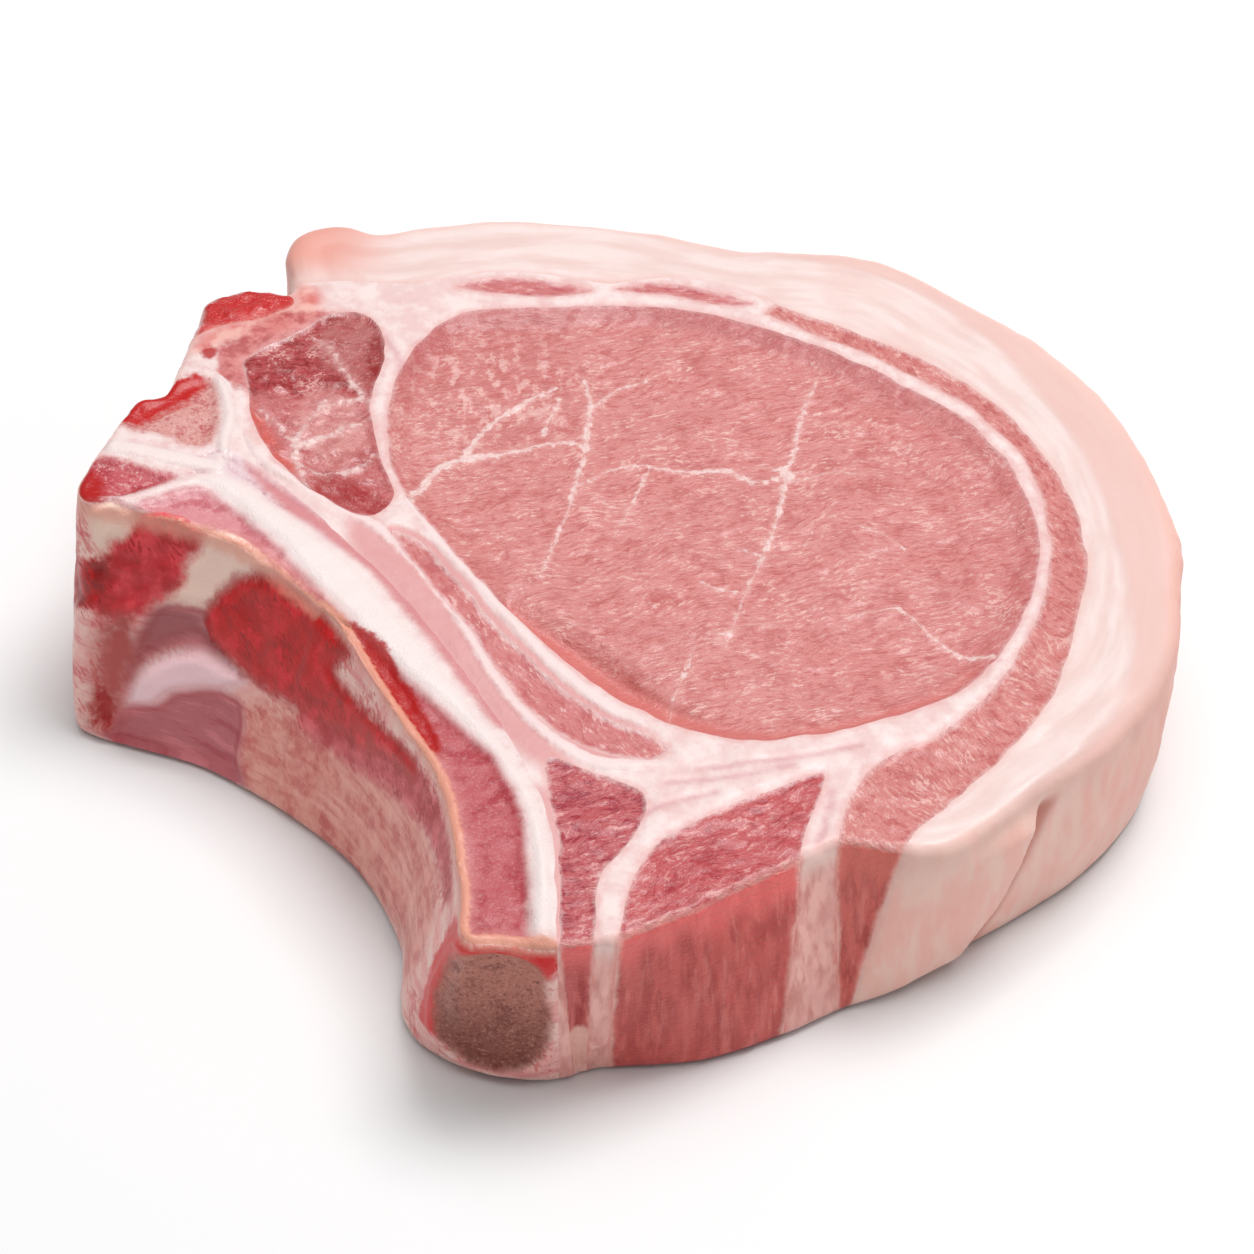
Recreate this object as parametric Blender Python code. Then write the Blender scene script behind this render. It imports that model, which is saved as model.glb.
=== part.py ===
import math

import bmesh
import bpy
import numpy as np
from mathutils import Vector
from mathutils.geometry import delaunay_2d_cdt

# Raw bone-in pork rib chop, cut face up
# X runs along the back from chine bone to belly side, Y away from the rib end, Z up
# All sizes are millimetres and become metres when the meshes are made

# Thickness of the cut: a wedge that is thickest at the chine bone
THICKNESS = 31.5
SLOPE_X = -0.045
SLOPE_Y = 0.03
CHINE_RISE = 3.2
CHINE_X = -74.4
CHINE_Y = 4.0
CHINE_SPREAD = 26.0

# Outline all round the chop, from the rib end clockwise
# Each row is the rim point, the shift of its foot on the table, and the radius of the top edge
OUTLINE = [
    (-19.9, -66.6, -3.9, 4.2, 1.2), (-20.5, -57.9, -8.0, 1.0, 1.2),
    (-23.5, -41.3, -6.3, -2.5, 1.2), (-31.4, -26.8, -4.6, -3.2, 1.2),
    (-37.6, -15.2, -7.5, -5.3, 1.2), (-43.2, -9.0, -7.3, -7.1, 1.2),
    (-49.5, -2.9, -6.8, -9.1, 1.2), (-56.0, 0.6, -4.8, -10.2, 1.2),
    (-68.1, 3.6, -3.2, -9.4, 1.2), (-72.5, 4.3, -3.4, -7.8, 1.4),
    (-74.1, 6.5, -2.8, -7.6, 1.4), (-73.3, 11.0, -3.0, -7.0, 1.4),
    (-69.8, 20.3, -3.6, -3.6, 1.4), (-67.6, 25.2, -3.2, -1.0, 1.4),
    (-63.7, 27.2, -3.6, 0.4, 1.4), (-62.3, 35.0, -2.4, 0.4, 1.8),
    (-61.1, 43.5, -0.6, 0.0, 2.2), (-59.8, 49.0, 0.2, -0.8, 2.4),
    (-54.2, 51.8, 0.6, -1.6, 2.4), (-48.0, 51.6, 1.4, -1.6, 2.0),
    (-48.9, 59.8, 1.2, -0.6, 2.2), (-47.3, 64.6, 1.4, -1.6, 2.6),
    (-41.0, 67.1, 1.2, -2.0, 3.0), (-36.2, 65.8, 0.8, -2.0, 3.2),
    (-28.3, 68.1, 0.4, -2.2, 3.4), (-13.7, 70.4, 0.0, -2.4, 3.6),
    (2.5, 69.4, 0.0, -2.4, 3.8), (17.2, 66.3, -0.2, -2.4, 4.0),
    (23.4, 66.6, -0.4, -2.4, 4.0), (38.8, 64.3, -0.8, -2.2, 4.0),
    (50.2, 57.0, -1.2, -1.8, 4.0), (62.0, 46.2, -1.4, -1.4, 4.0),
    (73.0, 29.2, -1.6, -0.8, 3.8), (77.0, 10.6, -1.8, -0.2, 3.4),
    (76.8, 1.0, -1.8, 0.0, 3.2), (73.6, -17.4, -1.8, 0.4, 2.8),
    (64.7, -31.0, -1.8, 1.0, 2.4), (54.9, -39.4, -1.4, 1.4, 2.0),
    (43.6, -48.8, -1.2, 3.0, 1.8), (36.6, -50.6, -0.6, -0.4, 1.8),
    (27.6, -49.9, 0.8, -4.6, 1.5), (20.1, -54.5, 0.8, -4.2, 1.5),
    (9.8, -61.1, 0.6, -1.8, 1.5), (-0.6, -66.6, 0.0, 2.6, 1.4),
    (-3.0, -67.2, -0.6, 2.8, 1.2), (-9.2, -68.0, -0.4, 1.8, 1.2),
    (-15.3, -67.2, -2.0, 1.8, 1.2),
]
FOOT_RADIUS = 1.6
WALL_BULGE = 0.7
RIM_STEP = 3.0
TOP_STEP = 5.0

# Border between the bone and the meat, from the chine edge to the rib end
BONE_EDGE = [
    (-75.0, 34.5), (-61.9, 35.1), (-58.2, 33.0), (-55.0, 29.6), (-53.0, 22.0), (-51.4, 15.9),
    (-44.0, 7.2), (-34.1, -3.4), (-24.3, -16.9), (-14.6, -34.0), (-9.6, -47.0), (-8.3, -60.0),
    (-8.3, -80.0),
]

# Border between the back fat and what lies inside it, from the chine edge to the belly side
FAT_EDGE = [
    (-62.0, 56.5), (-48.0, 53.0), (-41.0, 53.9), (-31.0, 53.6), (-25.0, 55.0), (-17.0, 57.0),
    (-8.0, 56.2), (-2.0, 55.4), (6.0, 57.0), (14.0, 55.8), (22.5, 51.6), (29.5, 48.3),
    (41.1, 42.6), (48.7, 36.9), (54.7, 29.8), (59.8, 21.2), (62.6, 12.5), (63.5, 2.3),
    (62.4, -5.3), (59.5, -16.5), (55.1, -26.6), (49.3, -34.8), (42.6, -42.6), (36.9, -50.0),
    (37.5, -62.0),
]
FAT_FOOT_X = -6.5

# Loin eye, the large muscle in the middle
LOIN_EYE = [
    (-29.1, 8.9), (-32.6, 20.5), (-32.3, 31.0), (-28.9, 41.1), (-22.5, 48.2), (-9.1, 50.0),
    (4.0, 50.7), (19.7, 47.0), (36.6, 38.2), (50.9, 25.8), (57.0, 9.7), (55.6, -4.5),
    (49.9, -16.4), (44.6, -22.8), (32.5, -29.3), (15.4, -32.7), (1.0, -27.2), (-12.3, -14.7),
]

# Cap muscle, a crescent inside the back fat; it narrows to a point at the table
CAP_INNER = [
    (20.4, 49.6), (28.3, 45.3), (36.8, 40.7), (45.1, 35.1), (51.8, 28.3), (56.5, 20.1),
    (58.6, 8.0), (57.3, -3.7), (52.4, -16.9), (44.4, -28.0), (32.8, -36.8), (28.8, -44.0),
    (27.4, -50.0), (26.0, -62.0),
]
CAP_FOOT_X = 1.8
CAP_START = 22.0

# Muscles between the eye and the bone
CHINE_MUSCLE = [
    (-52.8, 31.0), (-53.4, 34.8), (-50.6, 38.2), (-45.6, 42.8), (-41.2, 46.6), (-37.0, 46.6),
    (-34.4, 43.2), (-33.8, 37.6), (-35.0, 30.0), (-35.0, 23.0), (-33.0, 15.6), (-31.2, 9.6),
    (-34.0, 5.6), (-38.0, 6.2), (-42.2, 9.2), (-46.2, 13.0), (-49.2, 17.0), (-51.2, 22.4),
    (-52.2, 27.0),
]
CHINE_TIP = [
    (-66.0, 38.6), (-61.0, 39.6), (-56.6, 42.6), (-50.0, 45.4), (-47.0, 48.6), (-48.8, 51.2),
    (-52.0, 56.0), (-60.0, 58.0), (-70.0, 50.0),
]
RIB_MUSCLE = [
    (-31.4, 2.9), (-27.2, 1.0), (-22.7, -5.2), (-13.0, -18.6), (-3.4, -28.6), (6.0, -34.2),
    (3.6, -36.6), (-4.6, -34.9), (-12.6, -28.2), (-20.4, -15.0), (-28.4, -3.0),
]
INTERCOSTAL = [
    (-9.8, -37.2), (-3.0, -39.6), (3.0, -42.9), (1.6, -50.0), (-2.6, -56.0), (-3.3, -62.0),
    (-4.2, -80.0), (-7.8, -80.0), (-7.8, -61.0), (-8.2, -50.0),
]
INTERCOSTAL_FOOT = 0.3
BELLY_MUSCLE = [
    (0.4, -61.4), (3.5, -52.4), (9.2, -47.2), (20.0, -41.0), (26.0, -38.0), (25.2, -42.6),
    (23.2, -50.0), (21.6, -62.0), (10.0, -76.0), (0.6, -76.0),
]
BELLY_FOOT_X = -1.8

# Two thin streaks of lean meat between the back fat and the eye
STREAK_LEFT = [(-24.0, 53.5), (-18.5, 55.4), (-11.0, 55.3), (-4.2, 53.7), (-11.0, 52.0), (-18.5, 52.4)]
STREAK_RIGHT = [(-1.2, 54.2), (4.5, 55.6), (12.0, 54.5), (19.0, 51.7), (14.0, 51.4), (6.0, 53.3)]

# Clearance between neighbouring pieces
GAP = 0.3

# Relief of the cut face
EYE_SINK = 0.9
CREVICE_DEPTH = 2.2
CREVICE_WIDTH = 3.0
CREVICE = [(-13.0, -11.6), (-8.0, -18.6), (-2.0, -24.2), (5.0, -28.2)]
MARROW_SINK = 0.8
FIGURE_STEP = 3.4

# Where the pieces sit in the frame: the box of the whole chop is centred here
CENTRE_X = 0.244
CENTRE_Y = 1.235

COLOURS = {
    "bone": (0.72, 0.38, 0.31),
    "back_fat": (0.86, 0.66, 0.58),
    "seam_fat": (0.84, 0.68, 0.64),
    "loin_eye": (0.62, 0.20, 0.20),
    "cap_muscle": (0.60, 0.20, 0.20),
    "chine_muscle": (0.46, 0.13, 0.13),
    "chine_tip": (0.50, 0.08, 0.09),
    "rib_muscle": (0.58, 0.20, 0.20),
    "intercostal_muscle": (0.52, 0.14, 0.15),
    "belly_muscle": (0.50, 0.13, 0.14),
    "streak_left": (0.66, 0.30, 0.28),
    "streak_right": (0.66, 0.30, 0.28),
}


def smooth(value):
    value = np.clip(value, 0.0, 1.0)
    return value * value * (3.0 - 2.0 * value)


def spline(rows, closed, per_span=16):
    """Curve through the rows, with knots spaced by the square root of the chord."""
    points = np.array(rows, dtype=float)
    if closed:
        points = np.vstack([points[-1], points, points[0], points[1]])
    else:
        first = 2.0 * points[0] - points[1]
        last = 2.0 * points[-1] - points[-2]
        points = np.vstack([first, points, last])
    chords = np.maximum(np.linalg.norm(np.diff(points[:, :2], axis=0), axis=1), 1e-6)
    knots = np.concatenate([[0.0], np.cumsum(np.sqrt(chords))])
    pieces = []
    for i in range(1, len(points) - 2):
        left = (points[i + 1] - points[i - 1]) / (knots[i + 1] - knots[i - 1])
        right = (points[i + 2] - points[i]) / (knots[i + 2] - knots[i])
        span = knots[i + 1] - knots[i]
        t = np.linspace(0.0, 1.0, per_span, endpoint=False)[:, None]
        pieces.append(
            (2 * t**3 - 3 * t**2 + 1) * points[i]
            + (t**3 - 2 * t**2 + t) * span * left
            + (-2 * t**3 + 3 * t**2) * points[i + 1]
            + (t**3 - t**2) * span * right
        )
    if not closed:
        pieces.append(points[-2:-1])
    return np.vstack(pieces)


def evenly(curve, step, closed):
    """The same curve with points at an even spacing near the step."""
    if closed:
        curve = np.vstack([curve, curve[:1]])
    lengths = np.linalg.norm(np.diff(curve[:, :2], axis=0), axis=1)
    along = np.concatenate([[0.0], np.cumsum(lengths)])
    count = max(int(round(along[-1] / step)), 3)
    targets = np.linspace(0.0, along[-1], count + 1)
    if closed:
        targets = targets[:-1]
    columns = [np.interp(targets, along, curve[:, k]) for k in range(curve.shape[1])]
    return np.stack(columns, axis=1)


def outward(curve):
    """Unit normals of a closed clockwise curve, pointing out of it."""
    ahead = np.roll(curve, -1, axis=0)
    behind = np.roll(curve, 1, axis=0)
    run = ahead[:, :2] - behind[:, :2]
    run /= np.maximum(np.linalg.norm(run, axis=1, keepdims=True), 1e-9)
    return np.stack([-run[:, 1], run[:, 0]], axis=1)


def clockwise(curve):
    x, y = curve[:, 0], curve[:, 1]
    area = np.sum(x * np.roll(y, -1) - np.roll(x, -1) * y)
    return curve if area < 0.0 else curve[::-1]


def distance_to(points, path, closed):
    """Shortest distance from each point to a path."""
    path = np.asarray(path, dtype=float)[:, :2]
    ends = np.roll(path, -1, axis=0) if closed else path[1:]
    starts = path if closed else path[:-1]
    run = ends - starts
    square = np.maximum(np.sum(run * run, axis=1), 1e-12)
    away = points[:, None, :] - starts[None, :, :]
    t = np.clip(np.sum(away * run, axis=2) / square, 0.0, 1.0)
    near = away - t[:, :, None] * run
    return np.sqrt(np.min(np.sum(near * near, axis=2), axis=1))


def inside(points, ring):
    """True for each point that lies within a closed ring."""
    ring = np.asarray(ring, dtype=float)
    after = np.roll(ring, -1, axis=0)
    px, py = points[:, 0][:, None], points[:, 1][:, None]
    crosses = (ring[:, 1] > py) != (after[:, 1] > py)
    rise = after[:, 1] - ring[:, 1]
    rise = np.where(np.abs(rise) < 1e-12, 1e-12, rise)
    where = ring[:, 0] + (py - ring[:, 1]) * (after[:, 0] - ring[:, 0]) / rise
    return np.sum(crosses & (px < where), axis=1) % 2 == 1


EYE_RING = evenly(spline(LOIN_EYE, True), 2.0, True)
RIM_CURVE = spline(OUTLINE, True)


def cut_face(points):
    """Height of the cut face above the table."""
    x, y = points[:, 0], points[:, 1]
    reach = (x - CHINE_X) ** 2 + (y - CHINE_Y) ** 2
    height = THICKNESS + SLOPE_X * x + SLOPE_Y * y
    height = height + CHINE_RISE * np.exp(-reach / (2.0 * CHINE_SPREAD**2))
    depth = np.where(inside(points, EYE_RING), distance_to(points, EYE_RING, True), 0.0)
    height = height - EYE_SINK * smooth(depth / 4.0)
    fold = distance_to(points, CREVICE, False)
    height = height - CREVICE_DEPTH * np.exp(-((fold / CREVICE_WIDTH) ** 2))
    beside = distance_to(points, BONE_EDGE, False)
    rim = distance_to(points, RIM_CURVE[::8], True)
    marrow = smooth((beside - 3.0) / 3.0) * smooth(rim / 4.0)
    marrow = marrow * np.where(x + 0.45 * y < -38.0 + 0.0 * y, 1.0, 0.0)
    return height - MARROW_SINK * marrow


def mesh_object(name, vertices, faces):
    mesh = bpy.data.meshes.new(name)
    scaled = [(v[0] / 1000.0, v[1] / 1000.0, v[2] / 1000.0) for v in vertices]
    mesh.from_pydata(scaled, [], faces)
    mesh.update()
    made = bpy.data.objects.new(name, mesh)
    bpy.context.scene.collection.objects.link(made)
    return made


def chop_body():
    """The whole chop before it is divided: cut face, wall all round and flat underside."""
    rim = evenly(RIM_CURVE, RIM_STEP, True)
    count = len(rim)
    out = outward(rim)
    for _ in range(2):
        out = (np.roll(out, 1, axis=0) + 2.0 * out + np.roll(out, -1, axis=0)) / 4.0
    out /= np.linalg.norm(out, axis=1, keepdims=True)
    edge = rim[:, 4:5]
    foot = rim[:, 2:4]
    rim = rim[:, :2]
    top = cut_face(rim - out * edge)
    rings = []
    for turn in (0.0, 40.0, 90.0):
        angle = math.radians(turn)
        where = rim - out * edge * (1.0 - math.sin(angle))
        rings.append((where, top - edge[:, 0] * (1.0 - math.cos(angle))))
    for t in (0.25, 0.5, 0.75):
        down = t
        where = rim + foot * down + out * WALL_BULGE * math.sin(math.pi * t)
        rings.append((where, (top - edge[:, 0]) * (1.0 - t) + FOOT_RADIUS * t))
    for turn in (0.0, 50.0, 90.0):
        angle = math.radians(turn)
        where = rim + foot - out * FOOT_RADIUS * (1.0 - math.cos(angle))
        rings.append((where, np.full(count, FOOT_RADIUS * (1.0 - math.sin(angle)))))
    vertices = []
    for where, height in rings:
        vertices += [(p[0], p[1], h) for p, h in zip(where, height)]
    faces = []
    for k in range(len(rings) - 1):
        for i in range(count):
            j = (i + 1) % count
            a, b = k * count + i, k * count + j
            c, d = b + count, a + count
            faces.append((a, b, c))
            faces.append((a, c, d))
    last = (len(rings) - 1) * count
    faces.append([last + i for i in range(count)])
    ring = rings[0][0]
    low, high = ring.min(axis=0), ring.max(axis=0)
    grid = []
    row = 0
    y = low[1]
    while y < high[1]:
        x = low[0] + (TOP_STEP / 2.0 if row % 2 else 0.0)
        while x < high[0]:
            grid.append((x, y))
            x += TOP_STEP
        y += TOP_STEP * 0.866
        row += 1
    grid = np.array(grid)
    keep = inside(grid, ring) & (distance_to(grid, ring, True) > 0.55 * TOP_STEP)
    grid = grid[keep]
    flat = [Vector(p) for p in ring] + [Vector(p) for p in grid]
    border = [(i, (i + 1) % count) for i in range(count)]
    laid, _, patches, sources, _, _ = delaunay_2d_cdt(flat, border, [], 1, 1e-5)
    number = {}
    for i, source in enumerate(sources):
        number[i] = source[0] if source else -1
    heights = cut_face(grid)
    base = len(vertices)
    vertices += [(p[0], p[1], h) for p, h in zip(grid, heights)]
    for patch in patches:
        corners = [number[i] if number[i] < count else base + number[i] - count for i in patch]
        faces.append(corners)
    return mesh_object("chop", vertices, faces)


def close_and_turn_out(made):
    work = bmesh.new()
    work.from_mesh(made.data)
    bmesh.ops.remove_doubles(work, verts=work.verts, dist=0.00005)
    bmesh.ops.dissolve_degenerate(work, edges=work.edges, dist=0.00002)
    bmesh.ops.recalc_face_normals(work, faces=work.faces)
    bmesh.ops.triangulate(work, faces=work.faces, quad_method="BEAUTY", ngon_method="BEAUTY")
    work.to_mesh(made.data)
    work.free()


def prism(name, head, foot):
    """A cutter whose wall runs straight from a ring on the cut face to a ring on the table."""
    reach_low, reach_high = -6.0, 52.0
    span = THICKNESS
    low = foot + (head - foot) * (reach_low / span)
    high = foot + (head - foot) * (reach_high / span)
    count = len(head)
    vertices = [(p[0], p[1], reach_low) for p in low] + [(p[0], p[1], reach_high) for p in high]
    faces = [list(range(count)), list(range(count, 2 * count))]
    for i in range(count):
        j = (i + 1) % count
        if head[i][1] < head[j][1]:
            faces.append((i, j, count + j))
            faces.append((i, count + j, count + i))
        else:
            faces.append((i, j, count + i))
            faces.append((j, count + j, count + i))
    cutter = mesh_object(name, vertices, faces)
    close_and_turn_out(cutter)
    cutter.hide_render = True
    cutter.display_type = "WIRE"
    return cutter


def grown(ring, amount):
    return ring + outward(ring) * amount


def closed_ring(rows):
    return clockwise(evenly(spline(rows, True), FIGURE_STEP, True))


def side_ring(path, outer):
    """Ring made of a border path and far corners outside the chop."""
    line = evenly(spline(path, False), FIGURE_STEP, False)
    return clockwise(np.vstack([line, np.array(outer, dtype=float)]))


def foot_of(ring, shift_x, start_y, end_y):
    """Ring on the table: shifted along X, more and more towards the near side."""
    amount = smooth((start_y - ring[:, 1]) / (start_y - end_y))
    moved = ring.copy()
    moved[:, 0] += shift_x * amount
    return moved


def figures():
    """Ring on the cut face and ring on the table for each piece of the chop."""
    made = {}
    far_left = [(-8.3, -95.0), (-110.0, -95.0), (-110.0, 34.5)]
    bone = side_ring(BONE_EDGE, far_left)
    made["bone"] = (bone, bone)
    far_right = [(37.5, -95.0), (110.0, -95.0), (110.0, 100.0), (-75.0, 100.0), (-75.0, 56.5)]
    fat = side_ring(FAT_EDGE, far_right)
    made["back_fat"] = (fat, foot_of(fat, FAT_FOOT_X, -36.0, -52.0))
    inner = evenly(spline(CAP_INNER, False), FIGURE_STEP, False)
    border = evenly(spline(FAT_EDGE, False), FIGURE_STEP, False)
    turn = np.vstack([border[1:2] - border[:1], border[2:] - border[:-2], border[-1:] - border[-2:-1]])
    turn /= np.linalg.norm(turn, axis=1, keepdims=True)
    outer = border + GAP * np.stack([turn[:, 1], -turn[:, 0]], axis=1)
    outer = outer[int(np.argmax(border[:, 0] > CAP_START)):]
    cap_foot = np.vstack([
        foot_of(outer, FAT_FOOT_X, -36.0, -52.0),
        foot_of(inner, CAP_FOOT_X, -36.0, -52.0)[::-1],
    ])
    cap = np.vstack([outer, inner[::-1]])
    if clockwise(cap) is not cap:
        cap = cap[::-1]
        cap_foot = cap_foot[::-1]
    made["cap_muscle"] = (cap, cap_foot)
    eye = closed_ring(LOIN_EYE)
    made["loin_eye"] = (eye, eye)
    for name, rows in (
        ("chine_muscle", CHINE_MUSCLE),
        ("chine_tip", CHINE_TIP),
        ("rib_muscle", RIB_MUSCLE),
        ("streak_left", STREAK_LEFT),
        ("streak_right", STREAK_RIGHT),
    ):
        ring = closed_ring(rows)
        made[name] = (ring, ring)
    between = closed_ring(INTERCOSTAL)
    narrow = between.copy()
    middle = -5.4
    pinch = smooth((-46.0 - between[:, 1]) / 14.0)
    narrow[:, 0] = between[:, 0] + (middle - between[:, 0]) * (1.0 - INTERCOSTAL_FOOT) * pinch
    made["intercostal_muscle"] = (between, narrow)
    belly = closed_ring(BELLY_MUSCLE)
    made["belly_muscle"] = (belly, foot_of(belly, BELLY_FOOT_X, -44.0, -58.0))
    return made


def boolean(target, cutter, operation):
    step = target.modifiers.new(operation, "BOOLEAN")
    step.operation = operation
    step.solver = "EXACT"
    step.object = cutter
    graph = bpy.context.evaluated_depsgraph_get()
    result = bpy.data.meshes.new_from_object(target.evaluated_get(graph))
    target.modifiers.clear()
    old = target.data
    target.data = result
    bpy.data.meshes.remove(old)


def coat(made, name):
    colour = COLOURS[name]
    material = bpy.data.materials.new(name)
    material.use_nodes = True
    shader = material.node_tree.nodes["Principled BSDF"]
    shader.inputs["Base Color"].default_value = (colour[0], colour[1], colour[2], 1.0)
    shader.inputs["Roughness"].default_value = 0.35
    made.data.materials.clear()
    made.data.materials.append(material)


def main():
    for old in list(bpy.data.objects):
        bpy.data.objects.remove(old, do_unlink=True)
    body = chop_body()
    close_and_turn_out(body)
    cutters = []
    for name, (head, foot) in figures().items():
        piece = mesh_object(name, [], [])
        piece.data = body.data.copy()
        cutter = prism(name + "_cutter", head, foot)
        boolean(piece, cutter, "INTERSECT")
        bpy.data.objects.remove(cutter, do_unlink=True)
        cutters.append((grown(head, GAP), grown(foot, GAP)))
        finish(piece, name)
    seam = mesh_object("seam_fat", [], [])
    seam.data = body.data.copy()
    for head, foot in cutters:
        cutter = prism("seam_cutter", head, foot)
        boolean(seam, cutter, "DIFFERENCE")
        bpy.data.objects.remove(cutter, do_unlink=True)
    finish(seam, "seam_fat")
    bpy.data.objects.remove(body, do_unlink=True)


def finish(made, name):
    close_and_turn_out(made)
    made.name = name
    made.data.name = name
    for vertex in made.data.vertices:
        vertex.co.x -= CENTRE_X / 1000.0
        vertex.co.y -= CENTRE_Y / 1000.0
    coat(made, name)


main()
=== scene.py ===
import math

import bmesh
import bpy
import numpy as np
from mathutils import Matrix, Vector
from mathutils.bvhtree import BVHTree
from mathutils.geometry import delaunay_2d_cdt
from mathutils.kdtree import KDTree


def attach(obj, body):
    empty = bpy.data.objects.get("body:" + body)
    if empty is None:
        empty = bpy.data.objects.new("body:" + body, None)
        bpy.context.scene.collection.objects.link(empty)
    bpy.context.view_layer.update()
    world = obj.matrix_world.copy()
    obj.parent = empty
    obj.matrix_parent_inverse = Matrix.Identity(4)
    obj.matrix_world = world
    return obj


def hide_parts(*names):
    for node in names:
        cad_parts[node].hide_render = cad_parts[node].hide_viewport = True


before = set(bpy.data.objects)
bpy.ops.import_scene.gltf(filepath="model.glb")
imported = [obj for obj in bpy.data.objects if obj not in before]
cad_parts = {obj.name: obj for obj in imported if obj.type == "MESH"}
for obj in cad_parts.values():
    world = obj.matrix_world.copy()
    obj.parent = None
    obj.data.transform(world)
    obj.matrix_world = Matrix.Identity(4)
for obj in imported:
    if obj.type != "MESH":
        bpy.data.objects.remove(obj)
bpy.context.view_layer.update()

# The slice
# A chop is one slice, sawn and cut straight through the loin: its top and underside are cut faces,
# and its wall is bone and membrane on the hollow side, lean on the belly side and fat round the back.
# It is made whole here, in millimetres, and each piece below is parted from it along its own border.
THICKNESS = 31.5
SLOPE_X, SLOPE_Y = -0.045, 0.03
CHINE_RISE, CHINE_X, CHINE_Y, CHINE_SPREAD = 3.2, -74.4, 4.0, 26.0
SLICE_CENTRE = np.array([0.244, 1.235])
FOOT_RADIUS = 1.6
WALL_BULGE = 0.7
WALL_DEPTH = 34.0
RIM_STEP, FACE_STEP, UNDERSIDE_STEP, WALL_STEP = 0.6, 0.5, 1.3, 0.62
ROW_RATIO, EDGE_CLEARANCE = 0.866, 0.6
EDGE_TURNS, FOOT_TURNS = (0.0, 18.0, 36.0, 54.0, 72.0, 90.0), (30.0, 60.0, 90.0)
ROUNDING_PASSES = 40
# Borders between pieces: spacing of their points, and how far and how soon they swing
BORDER_STEP = 0.8
SWING, SWING_FADE = 0.22, 6.0
RANDOM_CELLS = 128
# Height above the table over which relief fades in, and the angle past which an edge stays sharp
RELIEF_FADE, SHARP_ANGLE = 3.0, 50.0
METRE = 1000.0

# Rim point, shift of its foot on the table and radius of the top edge, from the rib end clockwise
OUTLINE = [
    (-19.9, -66.6, -3.9, 4.2, 1.2), (-20.5, -57.9, -8.0, 1.0, 1.2),
    (-23.5, -41.3, -6.3, -2.5, 1.2), (-31.4, -26.8, -4.6, -3.2, 1.2),
    (-37.6, -15.2, -7.5, -5.3, 1.2), (-43.2, -9.0, -7.3, -7.1, 1.2),
    (-49.5, -2.9, -6.8, -9.1, 1.2), (-56.0, 0.6, -4.8, -10.2, 1.2),
    (-68.1, 3.6, -3.2, -9.4, 1.2), (-72.5, 4.3, -3.4, -7.8, 1.4),
    (-74.1, 6.5, -2.8, -7.6, 1.4), (-73.3, 11.0, -3.0, -7.0, 1.4),
    (-69.8, 20.3, -3.6, -3.6, 1.4), (-67.6, 25.2, -3.2, -1.0, 1.4),
    (-63.7, 27.2, -3.6, 0.4, 1.4), (-62.3, 35.0, -2.4, 0.4, 1.8),
    (-61.1, 43.5, -0.6, 0.0, 2.2), (-59.8, 49.0, 0.2, -0.8, 2.4),
    (-54.2, 51.8, 0.6, -1.6, 2.4), (-48.0, 51.6, 1.4, -1.6, 2.0),
    (-48.9, 59.8, 1.2, -0.6, 2.2), (-47.3, 64.6, 1.4, -1.6, 2.6),
    (-41.0, 67.1, 1.2, -2.0, 3.0), (-36.2, 65.8, 0.8, -2.0, 3.2),
    (-28.3, 68.1, 0.4, -2.2, 3.4), (-13.7, 70.4, 0.0, -2.4, 3.6),
    (2.5, 69.4, 0.0, -2.4, 3.8), (17.2, 66.3, -0.2, -2.4, 4.0),
    (23.4, 66.6, -0.4, -2.4, 4.0), (38.8, 64.3, -0.8, -2.2, 4.0),
    (50.2, 57.0, -1.2, -1.8, 4.0), (62.0, 46.2, -1.4, -1.4, 4.0),
    (73.0, 29.2, -1.6, -0.8, 3.8), (77.0, 10.6, -1.8, -0.2, 3.4),
    (76.8, 1.0, -1.8, 0.0, 3.2), (73.6, -17.4, -1.8, 0.4, 2.8),
    (64.7, -31.0, -1.8, 1.0, 2.4), (54.9, -39.4, -1.4, 1.4, 2.0),
    (43.6, -48.8, -1.2, 3.0, 1.8), (36.6, -50.6, -0.6, -0.4, 1.8),
    (27.6, -49.9, 0.8, -4.6, 1.5), (20.1, -54.5, 0.8, -4.2, 1.5),
    (9.8, -61.1, 0.6, -1.8, 1.5), (-0.6, -66.6, 0.0, 2.6, 1.4),
    (-3.0, -67.2, -0.6, 2.8, 1.2), (-9.2, -68.0, -0.4, 1.8, 1.2),
    (-15.3, -67.2, -2.0, 1.8, 1.2),
]


def smooth(value):
    value = np.clip(value, 0.0, 1.0)
    return value * value * (3.0 - 2.0 * value)


def bell(distance, width):
    return np.exp(-((distance / width) ** 2))


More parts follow.
